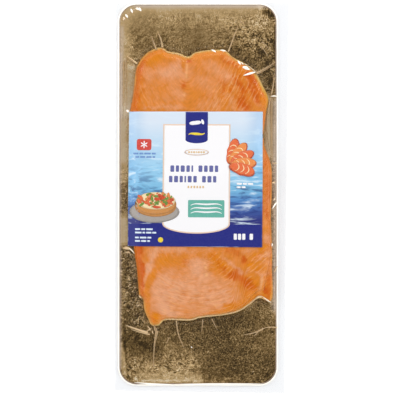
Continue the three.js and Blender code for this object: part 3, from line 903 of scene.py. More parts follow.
def salmon_flesh():
    flesh = Finish("smoked salmon")
    weave = flesh.vector("weave")
    grain = flesh.part(weave, 0)
    streaks = flesh.noise(0.55, 3, 0.6, 0.3, flesh.stretch(weave, (1, 0.17, 1)))
    hairs = flesh.noise(1.5, 2, 0.6, 0.3, flesh.stretch(weave, (1, 0.14, 1)))
    mottle, clouds = flesh.noise(190, 3, 0.6, 0.6), flesh.noise(75, 3, 0.6, 0.8)
    lined = flesh.value("lined")

    def swing(pattern, where_lined, everywhere):
        strength = flesh.total((lined, where_lined), (1.0, everywhere))
        return flesh.times(flesh.math("SUBTRACT", pattern, 0.5), strength)

    streaky = swing(streaks, 0.75, 0.34)
    blotch = swing(flesh.noise(0.32, 3, 0.65, 0.8, flesh.stretch(weave, (1, 0.5, 1))), 1.0, 0.25)
    tone = flesh.total((flesh.value("tone"), 1.0), (streaky, 1.0), (blotch, 0.8), (mottle, 0.3),
                       (clouds, 0.45), (1.0, -0.375))
    colour = flesh.ramp(tone, (0.0, GOLD), (0.42, MIDDLE), (0.95, PALE))
    depth = flesh.total((flesh.value("deep"), 1.1), (flesh.math("SUBTRACT", 0.55, streaks), 0.8),
                        (blotch, -2.1), (mottle, -0.3), (1.0, 0.07))
    colour = flesh.mix(flesh.level(depth, 0.0, 1.0, 0.0, 0.85), colour, DEEP)
    wander = flesh.times(flesh.math("SUBTRACT", flesh.noise(240, 3, 0.6), 0.5), 2.0)
    turns = flesh.times(flesh.math("ADD", grain, wander), 2 * math.pi / GRAIN_STEP)
    line = flesh.level(flesh.math("SINE", turns), 0.4, 1.0)
    broken = flesh.level(flesh.noise(0.16, 2, 0.5, 0, weave), 0.36, 0.6)
    seen = flesh.times(flesh.times(line, broken), flesh.total((lined, 0.55), (1.0, 0.05)))
    colour = flesh.mix(seen, colour, FAT)
    own_rim = flesh.level(flesh.value("own_edge"), 0.2, 1.6, 0.18, 0.0)
    marked = flesh.times(flesh.value("fat"), 0.85)
    colour = flesh.mix(flesh.math("MAXIMUM", own_rim, marked), colour, FAT)
    shade = flesh.total((hairs, 0.36), (mottle, 0.30), (1.0, 0.69))
    colour = flesh.add("HueSaturation", {"Value": shade, "Color": colour}).outputs[0]
    edge = flesh.value("edge")
    across, up = (flesh.part(flesh.place, axis) for axis in (0, 1))
    soft_edge = flesh.total((edge, 1.0), (wander, 1.4), (mottle, 4.0), (1.0, -2.0))
    band = flesh.level(soft_edge, 1.0, 5.6, 0.9, 0.0)
    left = flesh.times(flesh.level(across, -0.022, -0.040), flesh.level(up, -0.090, -0.066))
    right = flesh.times(flesh.level(across, 0.030, 0.042), flesh.level(up, 0.080, 0.066, 0.0, 0.4))
    colour = flesh.mix(flesh.times(band, flesh.math("MAXIMUM", left, right)), colour, SMOKED)
    ends = flesh.level(flesh.math("ABSOLUTE", up), 0.062, 0.080)
    wide = flesh.times(ends, flesh.level(across, -0.049, -0.040))
    rim_depth = flesh.math("ADD", flesh.times(wide, 2.7), 1.1)
    golden_rim = flesh.level(flesh.math("DIVIDE", soft_edge, rim_depth), 0.1, 1.0, 0.8, 0.0)
    skin_side = flesh.times(flesh.level(across, 0.036, 0.044), flesh.level(up, 0.060, 0.072))
    colour = flesh.mix(golden_rim, colour, flesh.mix(skin_side, GOLDEN_RIM, SKIN_RIM))
    open_side = flesh.times(flesh.level(across, -0.045, -0.034, 0.2),
                            flesh.level(across, 0.043, 0.050, 1.0, 0.1))
    # The thin cream line at the top and the foot is partly fat and partly painted highlight, kept bright
    # against the shade of the sloping edge.
    thin_rim = flesh.level(flesh.total((edge, 1.0), (mottle, 2.4), (1.0, -1.2)), 0.5, 2.2, 1.0, 0.0)
    rim = flesh.times(thin_rim, flesh.times(ends, open_side))
    rim_colour = flesh.mix(flesh.level(up, -0.02, 0.02), FOOT_FAT_AND_HIGHLIGHT, TOP_FAT_AND_HIGHLIGHT)
    colour = flesh.mix(rim, colour, rim_colour)
    flesh.shader.inputs["Subsurface Weight"].default_value = 0.06
    flesh.shader.inputs["Subsurface Radius"].default_value = (1.0, 0.5, 0.25)
    flesh.shader.inputs["Subsurface Scale"].default_value = 0.8 * MM
    height = flesh.total((line, -0.3), (hairs, 0.5), (mottle, 0.4), (flesh.noise(520, 2, 0.5), 0.3))
    flesh.shader.inputs["Specular IOR Level"].default_value = 0.08
    return flesh.set(Base_Color=colour, Roughness=0.5, Normal=flesh.bump(height, 0.3, 0.3))


flesh_material = salmon_flesh()
for pile_name, pile in PILES.items():
    for place, layer in zip(("top", "middle", "bottom"), slice_layers(pile)):
        build_slice(f"{pile_name}_{place}", layer, pile["centre"], flesh_material, place == "top")

# %% [markdown]
# ## The film
#
# Front and back film are one closed bag round everything else. Its front follows the form. Where the front
# had too much cloth for the shape it was pinched into folds: sharp ridges that are tallest at the fish and
# taper out over the card. A grid coarse enough to render would make beads of such thin ridges, so each is
# a small roof-shaped strip of its own on the film, with rows of points that follow its line. Painted
# highlights on short creases (glints), painted lines of light along the fish's edge (rim lights) and the
# painted bright bead where the film leaves the card are strips too. The colour of every strip is painted
# light: each says how white it is, from a tan painted reflection of the gold over the foil through cream to
# a white painted highlight, and how much of that painted highlight covers each of its points.

# %% Folds of the film
FOLDS = [
    # points that the fold bends towards, width and height at its start, whiteness of its painted highlight
    ([(-30.4, 114.5), (-31, 120.6), (-33.9, 126.4)], 1.9, 1.9, 0.10),
    ([(-35.2, 113), (-36.9, 118.3), (-39.2, 124)], 1.6, 1.5, 0.02),
    ([(-49.4, 102.2), (-52.8, 104.8), (-57.8, 108.4)], 1.2, 1.3, 0.38),
    ([(-49.6, 102.0), (-52.4, 103.8), (-56.0, 105.6)], 0.8, 0.8, 0.22),
    ([(19.8, 111.2), (22.7, 119), (27.3, 131.6)], 1.3, 1.6, 0.12),
    ([(40.9, 95.0), (48.2, 98.4), (56.4, 104.0)], 2.0, 1.6, 0.04),
    ([(41.4, 94.2), (47.6, 97.0), (54.0, 101.2)], 0.8, 1.2, 0.05),
    ([(-41.5, -103.1), (-48.3, -101.4), (-58.9, -97.2)], 2.3, 1.3, 0.30),
    ([(-40, -104.4), (-47.5, -103.1), (-54.6, -100.4)], 1.1, 1.0, 0.24),
    ([(-35, -99.5), (-35.6, -106), (-37.6, -117), (-37.2, -129)], 1.9, 2.0, 0.0),
    ([(-34, -101.5), (-35, -105), (-35.2, -109)], 1.3, 1.2, 0.2),
    ([(-19.7, -93.6), (-19.6, -104.5), (-13.6, -115)], 1.5, 1.6, 0.03),
    ([(0.4, -92.8), (0.1, -98.1), (-0.6, -102.4)], 1.2, 1.0, 0.0),
    ([(7.3, -92.2), (8.9, -96.2), (11.6, -101)], 1.2, 1.0, 0.0),
    ([(-25.4, -106.4), (-26.2, -108.8), (-27.4, -111.6)], 0.9, 0.6, 0.0),
    ([(57, -99.3), (49, -98.0), (45, -100.8)], 1.0, 0.7, 0.12),
    ([(46.4, -99.9), (41.8, -103.4), (31.1, -104.8)], 1.7, 0.9, 0.06),
    ([(42.6, -101.9), (41.1, -104.6), (39.5, -106)], 1.0, 0.6, 0.05),
    ([(-60.4, 104), (-60.2, 86), (-60.6, 58)], 0.9, 0.5, 0.0),
    ([(-58.4, 106), (-57.8, 86), (-58.6, 60)], 0.8, 0.5, 0.0),
    ([(52.6, 78.9), (55.0, 87), (54.9, 97.2)], 1.2, 1.0, 0.10),
    ([(52.0, 76), (49.0, 62), (48.8, 48), (51.6, 36)], 1.0, 0.8, 0.0),
    ([(53.2, 76), (52.6, 56), (53.0, 30)], 0.9, 0.6, 0.04),
    ([(45.6, 119), (50.2, 115.4), (53.8, 108.6)], 0.8, 0.5, 0.0),
    ([(45.2, 115.4), (47.9, 112.4), (50.4, 107.2)], 0.8, 0.5, 0.0),
    ([(28.8, 135.1), (31.1, 132.8), (33.8, 133.6)], 0.7, 0.4, 0.0),
]
GLINTS = [
    # the same, for short creases with a painted highlight, widest at their middle
    ([(41.2, 96.0), (36.5, 94.6), (31.2, 92.8)], 1.5, 0.8, 1.0),
    ([(30.4, 99.4), (33.4, 99.4), (36.0, 97.2)], 2.5, 0.7, 0.95),
    ([(33.6, 99.2), (35.4, 98.6), (37.2, 97.2)], 0.9, 0.6, 0.5),
    ([(27.0, 104.6), (28.2, 102.8), (29.2, 101.2)], 1.5, 0.6, 0.95),
    ([(29.4, 103.4), (30.6, 102.2), (31.4, 101.2)], 1.0, 0.6, 0.7),
    ([(32.0, 102.4), (33.0, 101.4), (34.6, 100.8)], 0.7, 0.5, 0.5),
    ([(34.8, 100.8), (36.0, 99.6), (38.0, 98.6)], 0.6, 0.5, 0.5),
    ([(37.2, 98.6), (38.6, 97.8), (40.6, 96.2)], 0.7, 0.5, 0.5),
    ([(6.8, 112.8), (8.8, 112.2), (10.4, 110.6)], 1.3, 0.6, 0.85),
    ([(13.6, 112.2), (15.4, 112.6), (18.4, 111.4)], 1.1, 0.6, 0.8),
    ([(14.6, 113.0), (15.6, 112.0), (16.2, 110.6)], 0.7, 0.5, 0.5),
    ([(-48.4, 145.4), (-47.6, 143.8), (-46.7, 142.4)], 1.7, 0.4, 0.95),
    ([(-50.4, 145.4), (-49.4, 144.1), (-48.2, 143.4)], 1.5, 0.4, 0.9),
    ([(-51.4, 144.9), (-50.8, 143.9), (-49.8, 143.6)], 0.6, 0.4, 0.6),
    ([(-54.6, 144.4), (-54.0, 142.9), (-53.2, 141.0)], 1.5, 0.5, 0.95),
    ([(-56.0, 142.4), (-55.7, 141.6), (-55.2, 141.0)], 0.6, 0.4, 0.4),
    ([(-58.8, 140.2), (-57.8, 139.0), (-56.8, 137.3)], 1.4, 0.5, 0.85),
    ([(-60.4, 138.2), (-59.8, 137.0), (-58.8, 135.8)], 1.2, 0.4, 0.55),
    ([(-60.8, 137.2), (-60.6, 136.0), (-59.6, 135.2)], 0.6, 0.4, 0.5),
    ([(-52.8, 144.2), (-52.2, 143.4), (-51.6, 143.0)], 0.6, 0.4, 0.5),
    ([(-57.4, 141.2), (-56.8, 140.6), (-56.2, 140.4)], 0.5, 0.4, 0.4),
    ([(-41.8, -97.6), (-40.6, -99.6), (-38.8, -102.0)], 1.2, 1.0, 0.30),
    ([(-38.6, -98.9), (-40.2, -101.2), (-42.8, -101.6)], 1.1, 0.9, 0.30),
    ([(-37.8, -101.0), (-38.4, -102.8), (-37.2, -104.2)], 1.0, 0.9, 0.4),
    ([(-36.6, -96.8), (-36.2, -99.8), (-35.6, -103.2)], 2.0, 0.9, 0.04),
    ([(-48.4, -74.2), (-47.6, -75.8), (-46.0, -76.6)], 1.3, 0.6, 0.35),
    ([(-60.9, -38.9), (-57.5, -37.6), (-54.3, -39.6)], 3.0, 0.8, 0.30),
    ([(-57.0, -38.0), (-53.8, -39.4), (-51.6, -42.9)], 1.0, 1.0, 0.60),
    ([(-60.0, -42.0), (-57.0, -41.0), (-54.2, -42.8)], 1.6, 0.6, 0.1),
    ([(53.0, -80.2), (49.2, -78.2), (45.8, -75.2)], 1.1, 0.9, 0.55),
    ([(46.2, -75.4), (43.0, -75.0), (40.0, -77.4)], 2.0, 0.8, 0.36),
    ([(-8.7, -113.7), (-8.2, -114.2), (-7.7, -114.7)], 0.8, 0.4, 0.9),
    ([(57.4, 77.1), (55.0, 78.2), (52.2, 77.2)], 1.1, 0.7, 0.7),
    ([(56.9, -3.4), (55.6, -4.8), (53.4, -8.6)], 1.2, 0.7, 0.8),
    ([(56.2, 0.4), (55.0, -1.2), (54.2, -2.4)], 1.0, 0.6, 0.5),
    ([(53.1, -34.6), (53.8, -35.8), (52.8, -37.1)], 1.1, 0.6, 0.7),
    ([(56.2, 12.2), (54.1, 11.4), (52.7, 11)], 0.9, 0.6, 0.4),
    ([(57.4, 26), (55.2, 27), (54, 25.6)], 0.9, 0.6, 0.3),
    ([(-58.0, 66.8), (-57.0, 66.4), (-55.9, 65)], 1.7, 0.6, 0.9),
    ([(57.6, -52), (55.9, -54), (54.6, -58)], 0.9, 0.6, 0.2),
    ([(-18, -142.9), (-34, -143.0), (-52, -141)], 1.1, 0.3, 0.8),
    ([(-22, -142.6), (4, -142.3), (46, -142.1)], 1.1, 0.3, 0.78),
]
RIM_LIGHTS = [
    # pile, first and last of its outline's points, distance outside, width, height, whiteness, and cover of
    # its painted highlight
    (LOWER_PILE, 14, 21, -0.95, 1.9, 0.12, 0.36, 0.54), (UPPER_PILE, 8, 11, -1.2, 2.2, 0.10, 0.34, 0.42),
    (UPPER_PILE, 11, 15, -0.9, 1.6, 0.10, 0.26, 0.32),
]
FOLD_GAP = 0.05
EDGE_BEAD = {"out": 0.6, "width": 1.05, "height": 0.12, "whiteness": 0.78}


def roof_strip(x, y, share, crest, milk, whiteness):
    """A closed strip on the film with a rounded crest, and the cover and whiteness of each point's painted
    highlight.
    """
    film = read_chart(form, x, y) + FOLD_GAP
    points, faces = slab(x, y, film + crest * (1 - share**2) + 0.02, film)
    return points, faces, np.tile(milk.ravel(), 2), np.full(len(points), whiteness)


def film_fold(guides, width, height, whiteness):
    """A fold: it starts full at the fish and tapers in width and height to its end."""
    x, y, along, share = ribbon(guides, lambda way: width * (1 - way) ** 0.55 + 0.35, 0.9)
    crest = height * (1 - along) ** 0.7 * np.sqrt(np.minimum(along * 14 + 0.25, 1))
    return roof_strip(x, y, share, crest, 0.42 + 0.54 * (1 - np.abs(share)) * (1 - 0.5 * along), whiteness)


def film_glint(guides, width, height, whiteness):
    """A short crease: its width and height follow half a sine wave from end to end."""
    x, y, along, share = ribbon(guides, lambda way: width * np.sin(np.pi * way) ** 0.8 + 0.12, 0.5)
    crest = height * np.sin(np.pi * along) ** 0.8
    return roof_strip(x, y, share, crest, 0.5 + 0.5 * (1 - np.abs(share)) * np.sin(np.pi * along), whiteness)


def line_strip(line, out, width, height, whiteness, milk=1.0, taper=6.0, faint=0.0):
    """A strip that keeps its distance from a bent line, with the line's outside at its left hand. The line is
    walked in equal steps, slow noise makes the strip wider and narrower, and it tapers at both ends. Its
    cover of painted highlight sinks with the square of the share across to the part `faint` at its long
    sides."""
    length = np.concatenate([[0], np.cumsum(np.linalg.norm(np.diff(line, axis=0), axis=1))])
    way = np.linspace(0, length[-1], max(4, int(length[-1] / 0.9)))
    middle = np.stack([np.interp(way, length, line[:, axis]) for axis in (0, 1)], -1)
    run = np.gradient(middle, axis=0)
    run /= np.linalg.norm(run, axis=1)[:, None]
    middle += out * run[:, ::-1] * (-1, 1)
    half = width / 2 * (1 + 0.35 * noise(middle[:, :1], middle[:, 1:], 5, 63))
    half = half * np.clip(np.minimum(way, length[-1] - way) / taper, 0.1, 1)[:, None]
    share = np.tile(np.linspace(-1, 1, 5), (len(way), 1))
    x, y = middle[:, :1] + share * half * run[:, 1:], middle[:, 1:] - share * half * run[:, :1]
    return roof_strip(x, y, share, height * np.ones(x.shape), milk * (1 - (1 - faint) * share**2), whiteness)


def edge_bead(out, width, height, whiteness):
    """The painted line of light where the film leaves the card's edge, as two strips that meet: the card's
    quarter circles, joined by its straight sides."""
    corners = [(sx * (CARD["width"] / 2 - CARD["corner"]), sy * (CARD["length"] / 2 - CARD["corner"]))
               for sx, sy in ((1, 1), (1, -1), (-1, -1), (-1, 1))]
    turn = np.linspace(np.pi / 2, 0, 14)
    line = np.concatenate([np.array(corner) + CARD["corner"] * np.stack([np.cos(turn - k * np.pi / 2),
                           np.sin(turn - k * np.pi / 2)], -1) for k, corner in enumerate(corners)])
    line = np.concatenate([line, line[:1]]) + (CARD["x"], CARD["y"])
    halves = line[:29], line[28:]
    return [line_strip(half, out, width, height, whiteness, 1.0, 0.01, 0.5) for half in halves]


def rim_light(pile, first, last, *shape):
    """A painted line of light along part of a pile's edge, between two of its outline's points."""
    steps = 6
    return line_strip(closed_curve(pile, steps)[steps * first:steps * last + 1], *shape)


# %% Film mesh
POUCH_CORNERS = {"top": ((-66.1, 148.4), (66.75, 149.3)), "bottom": ((-66.75, -147.5), (62.85, -149.3))}
RIGHT_SIDE_BOW = 0.6
FILM_STEP = 0.76
BACK_HEIGHT = 0.03
BORDER_HEIGHT = 0.18
BACK_SHARE = 0.996


def pouch_points():
    """A grid over the pouch: straight lines between its left and right side, which bows in slightly."""
    rows, columns = int(298 / FILM_STEP), int(132 / FILM_STEP)
    up, across = np.meshgrid(np.linspace(0, 1, rows), np.linspace(0, 1, columns), indexing="ij")
    bottom_left, bottom_right = (np.array(corner) for corner in POUCH_CORNERS["bottom"])
    top_left, top_right = (np.array(corner) for corner in POUCH_CORNERS["top"])
    left = bottom_left + up[..., None] * (top_left - bottom_left)
    right = bottom_right + up[..., None] * (top_right - bottom_right)
    right[..., 0] -= RIGHT_SIDE_BOW * np.sin(np.pi * up)
    place = left + across[..., None] * (right - left)
    return place[..., 0], place[..., 1]


def build_film(material):
    x, y = pouch_points()
    depth = in_card(x, y)
    waves = 0.12 * (1 + noise(x, y, 9, 61)) * (1 - ease(depth, -0.5, 2))
    tremble = 0.05 * noise(x, y, 4.5, 62) * ease(depth, 2, 6)
    points = np.stack([x, y, read_chart(form, x, y) + waves + tremble], -1).reshape(-1, 3)
    points[grid_border(*x.shape), 2] = BORDER_HEIGHT
    points, faces = flat_backed(points, x.shape, BACK_HEIGHT, BACK_SHARE)
    film = add_piece("pouch_film", points, faces, material, "film", "pouch")
    add_values(film, seal=ease(-in_card(points[:, 0], points[:, 1]), 0.6, 3.0))


def build_folds(material):
    bodies = [film_fold(*fold) for fold in FOLDS] + [film_glint(*glint) for glint in GLINTS]
    bodies += edge_bead(**EDGE_BEAD) + [rim_light(*rim) for rim in RIM_LIGHTS]
    folds = add_piece("film_folds", *merged([body[:2] for body in bodies]), material, "film", "pouch")
    add_values(folds, milk=np.concatenate([body[2] for body in bodies]),
               white=np.concatenate([body[3] for body in bodies]))


# %% [markdown]
# ## Clear film
#
# Film this thin doesn't bend light, so it needs no glass. It is a mix of see-through and mirror. The
# mirror's share is small and grows with the fifth power of how edge-on the film is seen (Schlick's rule). It
# is the same from both faces, so that no light is trapped below it. The sealed border is very slightly grey.
# The strips on the film have a finish of their own, between see-through and a painted highlight, and the
# whitest of them glow a little as painted light.

# %% Film material
SEAL_TINT, FILM_GLOSS = (0.983, 0.986, 0.990, 1), (0.4, 0.36, 0.28, 1)
# Painted light: tan is a painted reflection of the gold under the film, cream and white are painted
# highlights.
PAINTED_GOLD_REFLECTION, PAINTED_CREAM_HIGHLIGHT, PAINTED_WHITE_HIGHLIGHT = srgb(198, 166, 122), srgb(244, 212, 162), srgb(255, 252, 242)


def clear_film():
    film = Finish("clear film")
    faint = film.bump(film.noise(200, 2, 0.5), 0.2, 0.3)
    edge_on = film.add("LayerWeight", {"Blend": 0.5, "Normal": faint}).outputs["Facing"]
    mirror = film.total((film.math("POWER", edge_on, 5.0), 0.2), (1.0, 0.04))
    tint = film.mix(film.value("seal"), (1, 1, 1, 1), SEAL_TINT)
    clear = film.add("BsdfTransparent", {"Color": tint}).outputs[0]
    gloss = film.add("BsdfGlossy", {"Color": FILM_GLOSS, "Roughness": 0.14, "Normal": faint}).outputs[0]
    sheet = film.add("MixShader", {0: mirror, 1: clear, 2: gloss}).outputs[0]
    film.links.new(sheet, film.output.inputs["Surface"])
    film.nodes.remove(film.shader)
    return film.material


def milky_film():
    film = Finish("milky film")
    white = film.value("white")
    # The strip's colour is painted light: a tan painted reflection of the gold, or a cream or white painted
    # highlight.
    colour = film.ramp(white, (0.0, PAINTED_GOLD_REFLECTION), (0.42, PAINTED_CREAM_HIGHLIGHT), (0.8, PAINTED_WHITE_HIGHLIGHT))
    body = film.level(film.total((film.value("milk"), 0.9), (white, 0.35)), 0.25, 1.0)
    clear = film.add("BsdfTransparent", {"Color": (1, 1, 1, 1)}).outputs[0]
    film.links.new(film.add("MixShader", {0: body, 1: clear, 2: film.shader.outputs[0]}).outputs[0],
                   film.output.inputs["Surface"])
    film.shader.inputs["Emission Color"].default_value = PAINTED_WHITE_HIGHLIGHT
    # Painted glow: the whitest strips give light through their emission, though they are no lamp.
    painted_glow = film.level(white, 0.3, 0.9, 0.01, 0.2)
    return film.set(Base_Color=colour, Roughness=0.25, Emission_Strength=painted_glow)


build_film(clear_film())
build_folds(milky_film())

# %% [markdown]
# ## The label
#
# The label is smooth paper stuck on the film. It is stiffer than the film, so it bridges small hollows:
# its form is the higher of the film and a blurred copy of it. Its ground is printed in one piece, a pale
# sky that turns into a sea with ripples, which the material paints by height on the label, bluer to the
# sides.

# %% Label mesh
LABEL_CORNERS = {"top": ((-55.7, 65.5), (46, 65.4)), "bottom": ((-56.9, -36.8), (45.5, -37.7))}
LABEL_SIZE = (102.0, 103.0)
LABEL_THICKNESS = 0.12
LABEL_GAP = 0.22
INK_LEVEL = 0.03
label_form = blur(np.maximum(form, blur(form, 2.6)), 0.8) + LABEL_GAP


def on_label(across, up):
    """From millimetres on the flat label, counted from its bottom left corner, to places on the pack."""
    right, rise = across / LABEL_SIZE[0], up / LABEL_SIZE[1]
    (top_left, top_right), (low_left, low_right) = LABEL_CORNERS["top"], LABEL_CORNERS["bottom"]
    x, y = ((1 - rise) * ((1 - right) * low_left[axis] + right * low_right[axis])
            + rise * ((1 - right) * top_left[axis] + right * top_right[axis]) for axis in (0, 1))
    return x, y


def label_height(x, y, level=0):
    """The top of the label, or of a printed shape on it: each level of print is a few hundredths higher."""
    return read_chart(label_form, x, y) + LABEL_THICKNESS + INK_LEVEL * level


def build_label(material):
    across, up = np.meshgrid(np.linspace(0, LABEL_SIZE[0], 130), np.linspace(0, LABEL_SIZE[1], 130))
    x, y = on_label(across, up)
    top = label_height(x, y)
    points, faces = slab(x, y, top, top - LABEL_THICKNESS)
    add_piece("label_sheet", points, faces, material, "label_paper", "label")


# %% Sea and sky
def sea_print():
    sea = Finish("label sea")
    up = sea.part(sea.place, 1)
    height = sea.add("MapRange", {"Value": up, "From Min": -37.0 * MM, "From Max": 65.5 * MM}).outputs[0]
    ground = sea.ramp(height, (0.19, srgb(44, 46, 122)), (0.26, srgb(62, 92, 162)),
                      (0.34, srgb(84, 138, 198)), (0.42, srgb(126, 190, 226)), (0.58, srgb(158, 210, 240)),
                      (0.76, srgb(192, 221, 242)), (0.92, srgb(222, 233, 245)))
    beside = sea.math("ABSOLUTE", sea.math("ADD", sea.part(sea.place, 0), 5 * MM))
    bluer = sea.times(sea.level(beside, 34 * MM, 52 * MM, 0.0, 0.42), sea.level(height, 0.38, 0.56))
    ground = sea.mix(bluer, ground, srgb(102, 174, 226))
    ripples = sea.noise(170, 4, 0.6, 0.5, sea.stretch(sea.place, (0.3, 1.5, 1)))
    bright = sea.times(sea.level(ripples, 0.50, 0.68), sea.level(height, 0.95, 0.6, 0.25, 0.8))
    dark = sea.times(sea.level(ripples, 0.48, 0.34), sea.level(height, 0.75, 0.3, 0.0, 0.8))
    colour = sea.mix(bright, ground, srgb(226, 242, 252))
    colour = sea.mix(dark, colour, srgb(34, 50, 120))
    return sea.set(Base_Color=colour, Roughness=0.4)


build_label(sea_print())

# %% [markdown]
# ## Print on the label
#
# The rest of the print is simple fields of flat ink. Each is a thin draped slab a few hundredths of a
# millimetre above the paper, so its edges stay sharp at any distance. Panels are rows of points, round
# motifs are star-shaped outlines filled with rings, and lines are ribbons. Each piece has one ink, and a
# motif of several inks is several pieces. No words are printed: rows of small blocks hold the places where a
# pack has them.

# %% Inks and printed shapes
def ink(name, colour, grain=0.05):
    """A flat ink with the slight mottle of printing."""
    coat = Finish("ink " + name)
    tint = coat.mix(coat.level(coat.noise(900, 2, 0.6), 0.3, 0.7, 0, grain), colour, (1, 1, 1, 1))
    coat.shader.inputs["Specular IOR Level"].default_value = 0.3
    return coat.set(Base_Color=tint, Roughness=0.42)


INKS = {
    "navy": ink("navy", srgb(36, 42, 128), 0.01), "white": ink("white", srgb(252, 250, 250)),
    "peach": ink("peach", srgb(238, 206, 180)), "coral": ink("coral", srgb(232, 108, 56)),
    "orange": ink("orange", srgb(238, 142, 70)), "deep": ink("deep orange", srgb(214, 78, 34)),
    "cream": ink("cream", srgb(250, 226, 176)), "crust": ink("crust", srgb(206, 140, 70)),
    "grey": ink("grey", srgb(168, 160, 152)), "green": ink("green", srgb(112, 152, 60)),
    "yellow": ink("yellow", srgb(240, 212, 50)), "teal": ink("teal", srgb(98, 178, 160)),
    "letter": ink("letter blue", srgb(96, 100, 160)), "red": ink("red", srgb(212, 66, 54)),
    "tan": ink("tan", srgb(226, 190, 138)), "pale": ink("pale blue", srgb(222, 236, 248)),
    "mist": ink("mist blue", srgb(112, 150, 206)),
}


def draped(across, up, level):
    """A thin slab of ink over a grid of places on the label."""
    x, y = on_label(across, up)
    top = label_height(x, y, level)
    return slab(x, y, top, top - INK_LEVEL)


def panel(left, right, low, high, radius, level):
    """A rectangle with round corners, in millimetres on the label."""
    return draped(*rounded_rows(left, right, low, high, radius, 0.9), level)


def shield(left, right, low, high, foot, level):
    """A panel with an elliptical foot: below its low edge each row narrows as an ellipse of that depth."""
    turn = np.linspace(0.02, np.pi / 2, 12)
    rows = np.concatenate([low - foot * np.cos(turn), np.linspace(low, high, int(high - low))[1:]])
    half = (right - left) / 2 * np.sqrt(1 - np.clip((low - rows) / foot, 0, 1) ** 2)
    across = (left + right) / 2 + half[:, None] * np.linspace(-1, 1, int(right - left))
    return draped(across, np.repeat(rows[:, None], across.shape[1], 1), level)


def blob(across, up, reach, level, turn=0.0, around=64, rings=6):
    """A star-shaped field: `reach` gives how far it goes from its middle at each angle, in millimetres."""
    angles = np.linspace(0, 2 * np.pi, around, endpoint=False)
    share = np.concatenate([np.linspace(0, 1, rings + 1)[1:], np.linspace(1, 0, rings + 1)[1:-1]])[:, None]
    x, y = on_label(across + share * reach(angles) * np.cos(angles + turn),
                    up + share * reach(angles) * np.sin(angles + turn))
    drop = np.where(np.arange(len(share)) < rings, 0, INK_LEVEL)[:, None]
    surface = np.stack([x, y, label_height(x, y, level) - drop], -1)
    poles = [(*on_label(across, up), surface[row, :, 2].mean()) for row in (0, -1)]
    return round_solid(surface, *poles)


def stroke(guides, width, level):
    """A printed line, thickest at its middle."""
    across, up = ribbon(guides, lambda way: width * (0.3 + 0.7 * np.sin(np.pi * way)), 0.8)[:2]
    return draped(across, up, level)


def ellipse(half_width, half_height):
    """The reach of an ellipse at each angle."""
    return lambda angle: half_width * half_height / np.hypot(half_height * np.cos(angle),
                                                             half_width * np.sin(angle))


def leaf(length, width):
    """The reach of a leaf: an ellipse drawn in at the angles between its two points."""
    return lambda angle: ellipse(length, width)(angle) * (0.75 + 0.25 * np.abs(np.cos(angle)) ** 3)


def blocks(left, low, height, widths, gap, level):
    """A row of small blocks in place of a word, in millimetres. A width of 0 leaves a wider gap."""
    bodies = []
    for width in widths:
        if width:
            bodies.append(panel(left, left + width, low, low + height, min(width, height) * 0.25, level))
        left += (width or 1.6) + gap
    return bodies


def print_piece(name, ink_name, bodies):
    add_piece(name, *merged(bodies), INKS[ink_name], "label_paper", "label")


# %% [markdown]
# ## The layout
#
# A white panel with a round foot stands in the middle between a navy foot band and a navy flag at the top,
# which has a fish over a wave. Slices of salmon are drawn at the upper right, a plate with a tartlet at the
# lower left, and a teal field with waves inside the panel. The places are given in millimetres from the
# label's bottom left corner.

# %% Fields and blocks
print_piece("label_band", "navy", [panel(0.3, LABEL_SIZE[0] - 0.3, 0.3, 17.2, 0.5, 1)])
print_piece("label_panel_line", "peach", [shield(26.2, 77.4, 17.4, 93.4, 7.4, 2)])
print_piece("label_panel", "white", [shield(27.2, 76.4, 17.6, 92.4, 6.6, 3)])
print_piece("label_flag", "navy", [shield(43.2, 60.2, 81.6, 102.7, 2.8, 4)])
print_piece("flag_fish", "white", [blob(50.6, 94.4, leaf(4.6, 1.9), 5, 0.12),
                                   blob(56.2, 95.1, ellipse(1.0, 2.0), 5, 0.3)])
print_piece("flag_wave", "yellow", [stroke([(45.6, 85.4), (48, 87.8), (50, 84.0), (52.6, 88.0), (55, 84.0),
                                            (57.8, 86.6)], 1.9, 5)])
print_piece("panel_oval", "peach", [blob(51.8, 72.0, ellipse(9.4, 2.5), 4)])
print_piece("panel_oval_field", "white", [blob(51.8, 72.0, ellipse(8.7, 1.9), 5)])
print_piece("panel_oval_blocks", "tan", blocks(45.3, 71.3, 1.4, (1.6, 1.2, 1.6, 0.9, 1.6, 1.3, 1.6), 0.5, 6))
print_piece("title_blocks", "letter",
            blocks(32.0, 57.0, 4.9, (2.9, 2.4, 3.1, 2.6, 1.2, 0, 3.0, 2.7, 3.0, 2.5), 1.25, 4)
            + blocks(31.0, 49.0, 4.9, (2.6, 3.0, 2.4, 1.2, 3.0, 2.6, 0, 2.8, 3.0, 2.4), 1.25, 4))
print_piece("under_blocks", "tan", blocks(45.2, 44.6, 1.8, (1.3, 1.3, 1.4, 1.3, 1.3, 1.3), 0.9, 4))
print_piece("teal_field", "teal", [panel(45.6, 73.2, 22.4, 35.6, 0.8, 4)])
TEAL_WAVE = [(47.6, 25.4), (53, 29.4), (59.4, 22.6), (65.8, 29.4), (71.2, 25.4)]
print_piece("teal_waves", "white", [stroke([(across, up + row) for across, up in TEAL_WAVE], 1.2, 5)
                                    for row in (0, 3, 6)])
print_piece("weight_blocks", "white", blocks(80.4, 5.6, 4.6, (2.4, 2.4, 2.4, 0, 2.6), 0.8, 3))
NOTE_ROWS = [(12.4, (4, 3, 5)), (9.8, (5, 2, 4, 3)), (6.0, (3, 5, 3)), (3.4, (4, 4, 2))]
print_piece("note_blocks", "pale", [body for low, widths in NOTE_ROWS
                                    for body in blocks(5.6, low, 1.3, widths, 0.7, 3)])
print_piece("note_dot", "yellow", [blob(25.0, 5.0, ellipse(2.0, 2.0), 3)])
print_piece("badge", "red", [panel(6.2, 17.4, 73.4, 82.0, 1.6, 2)])
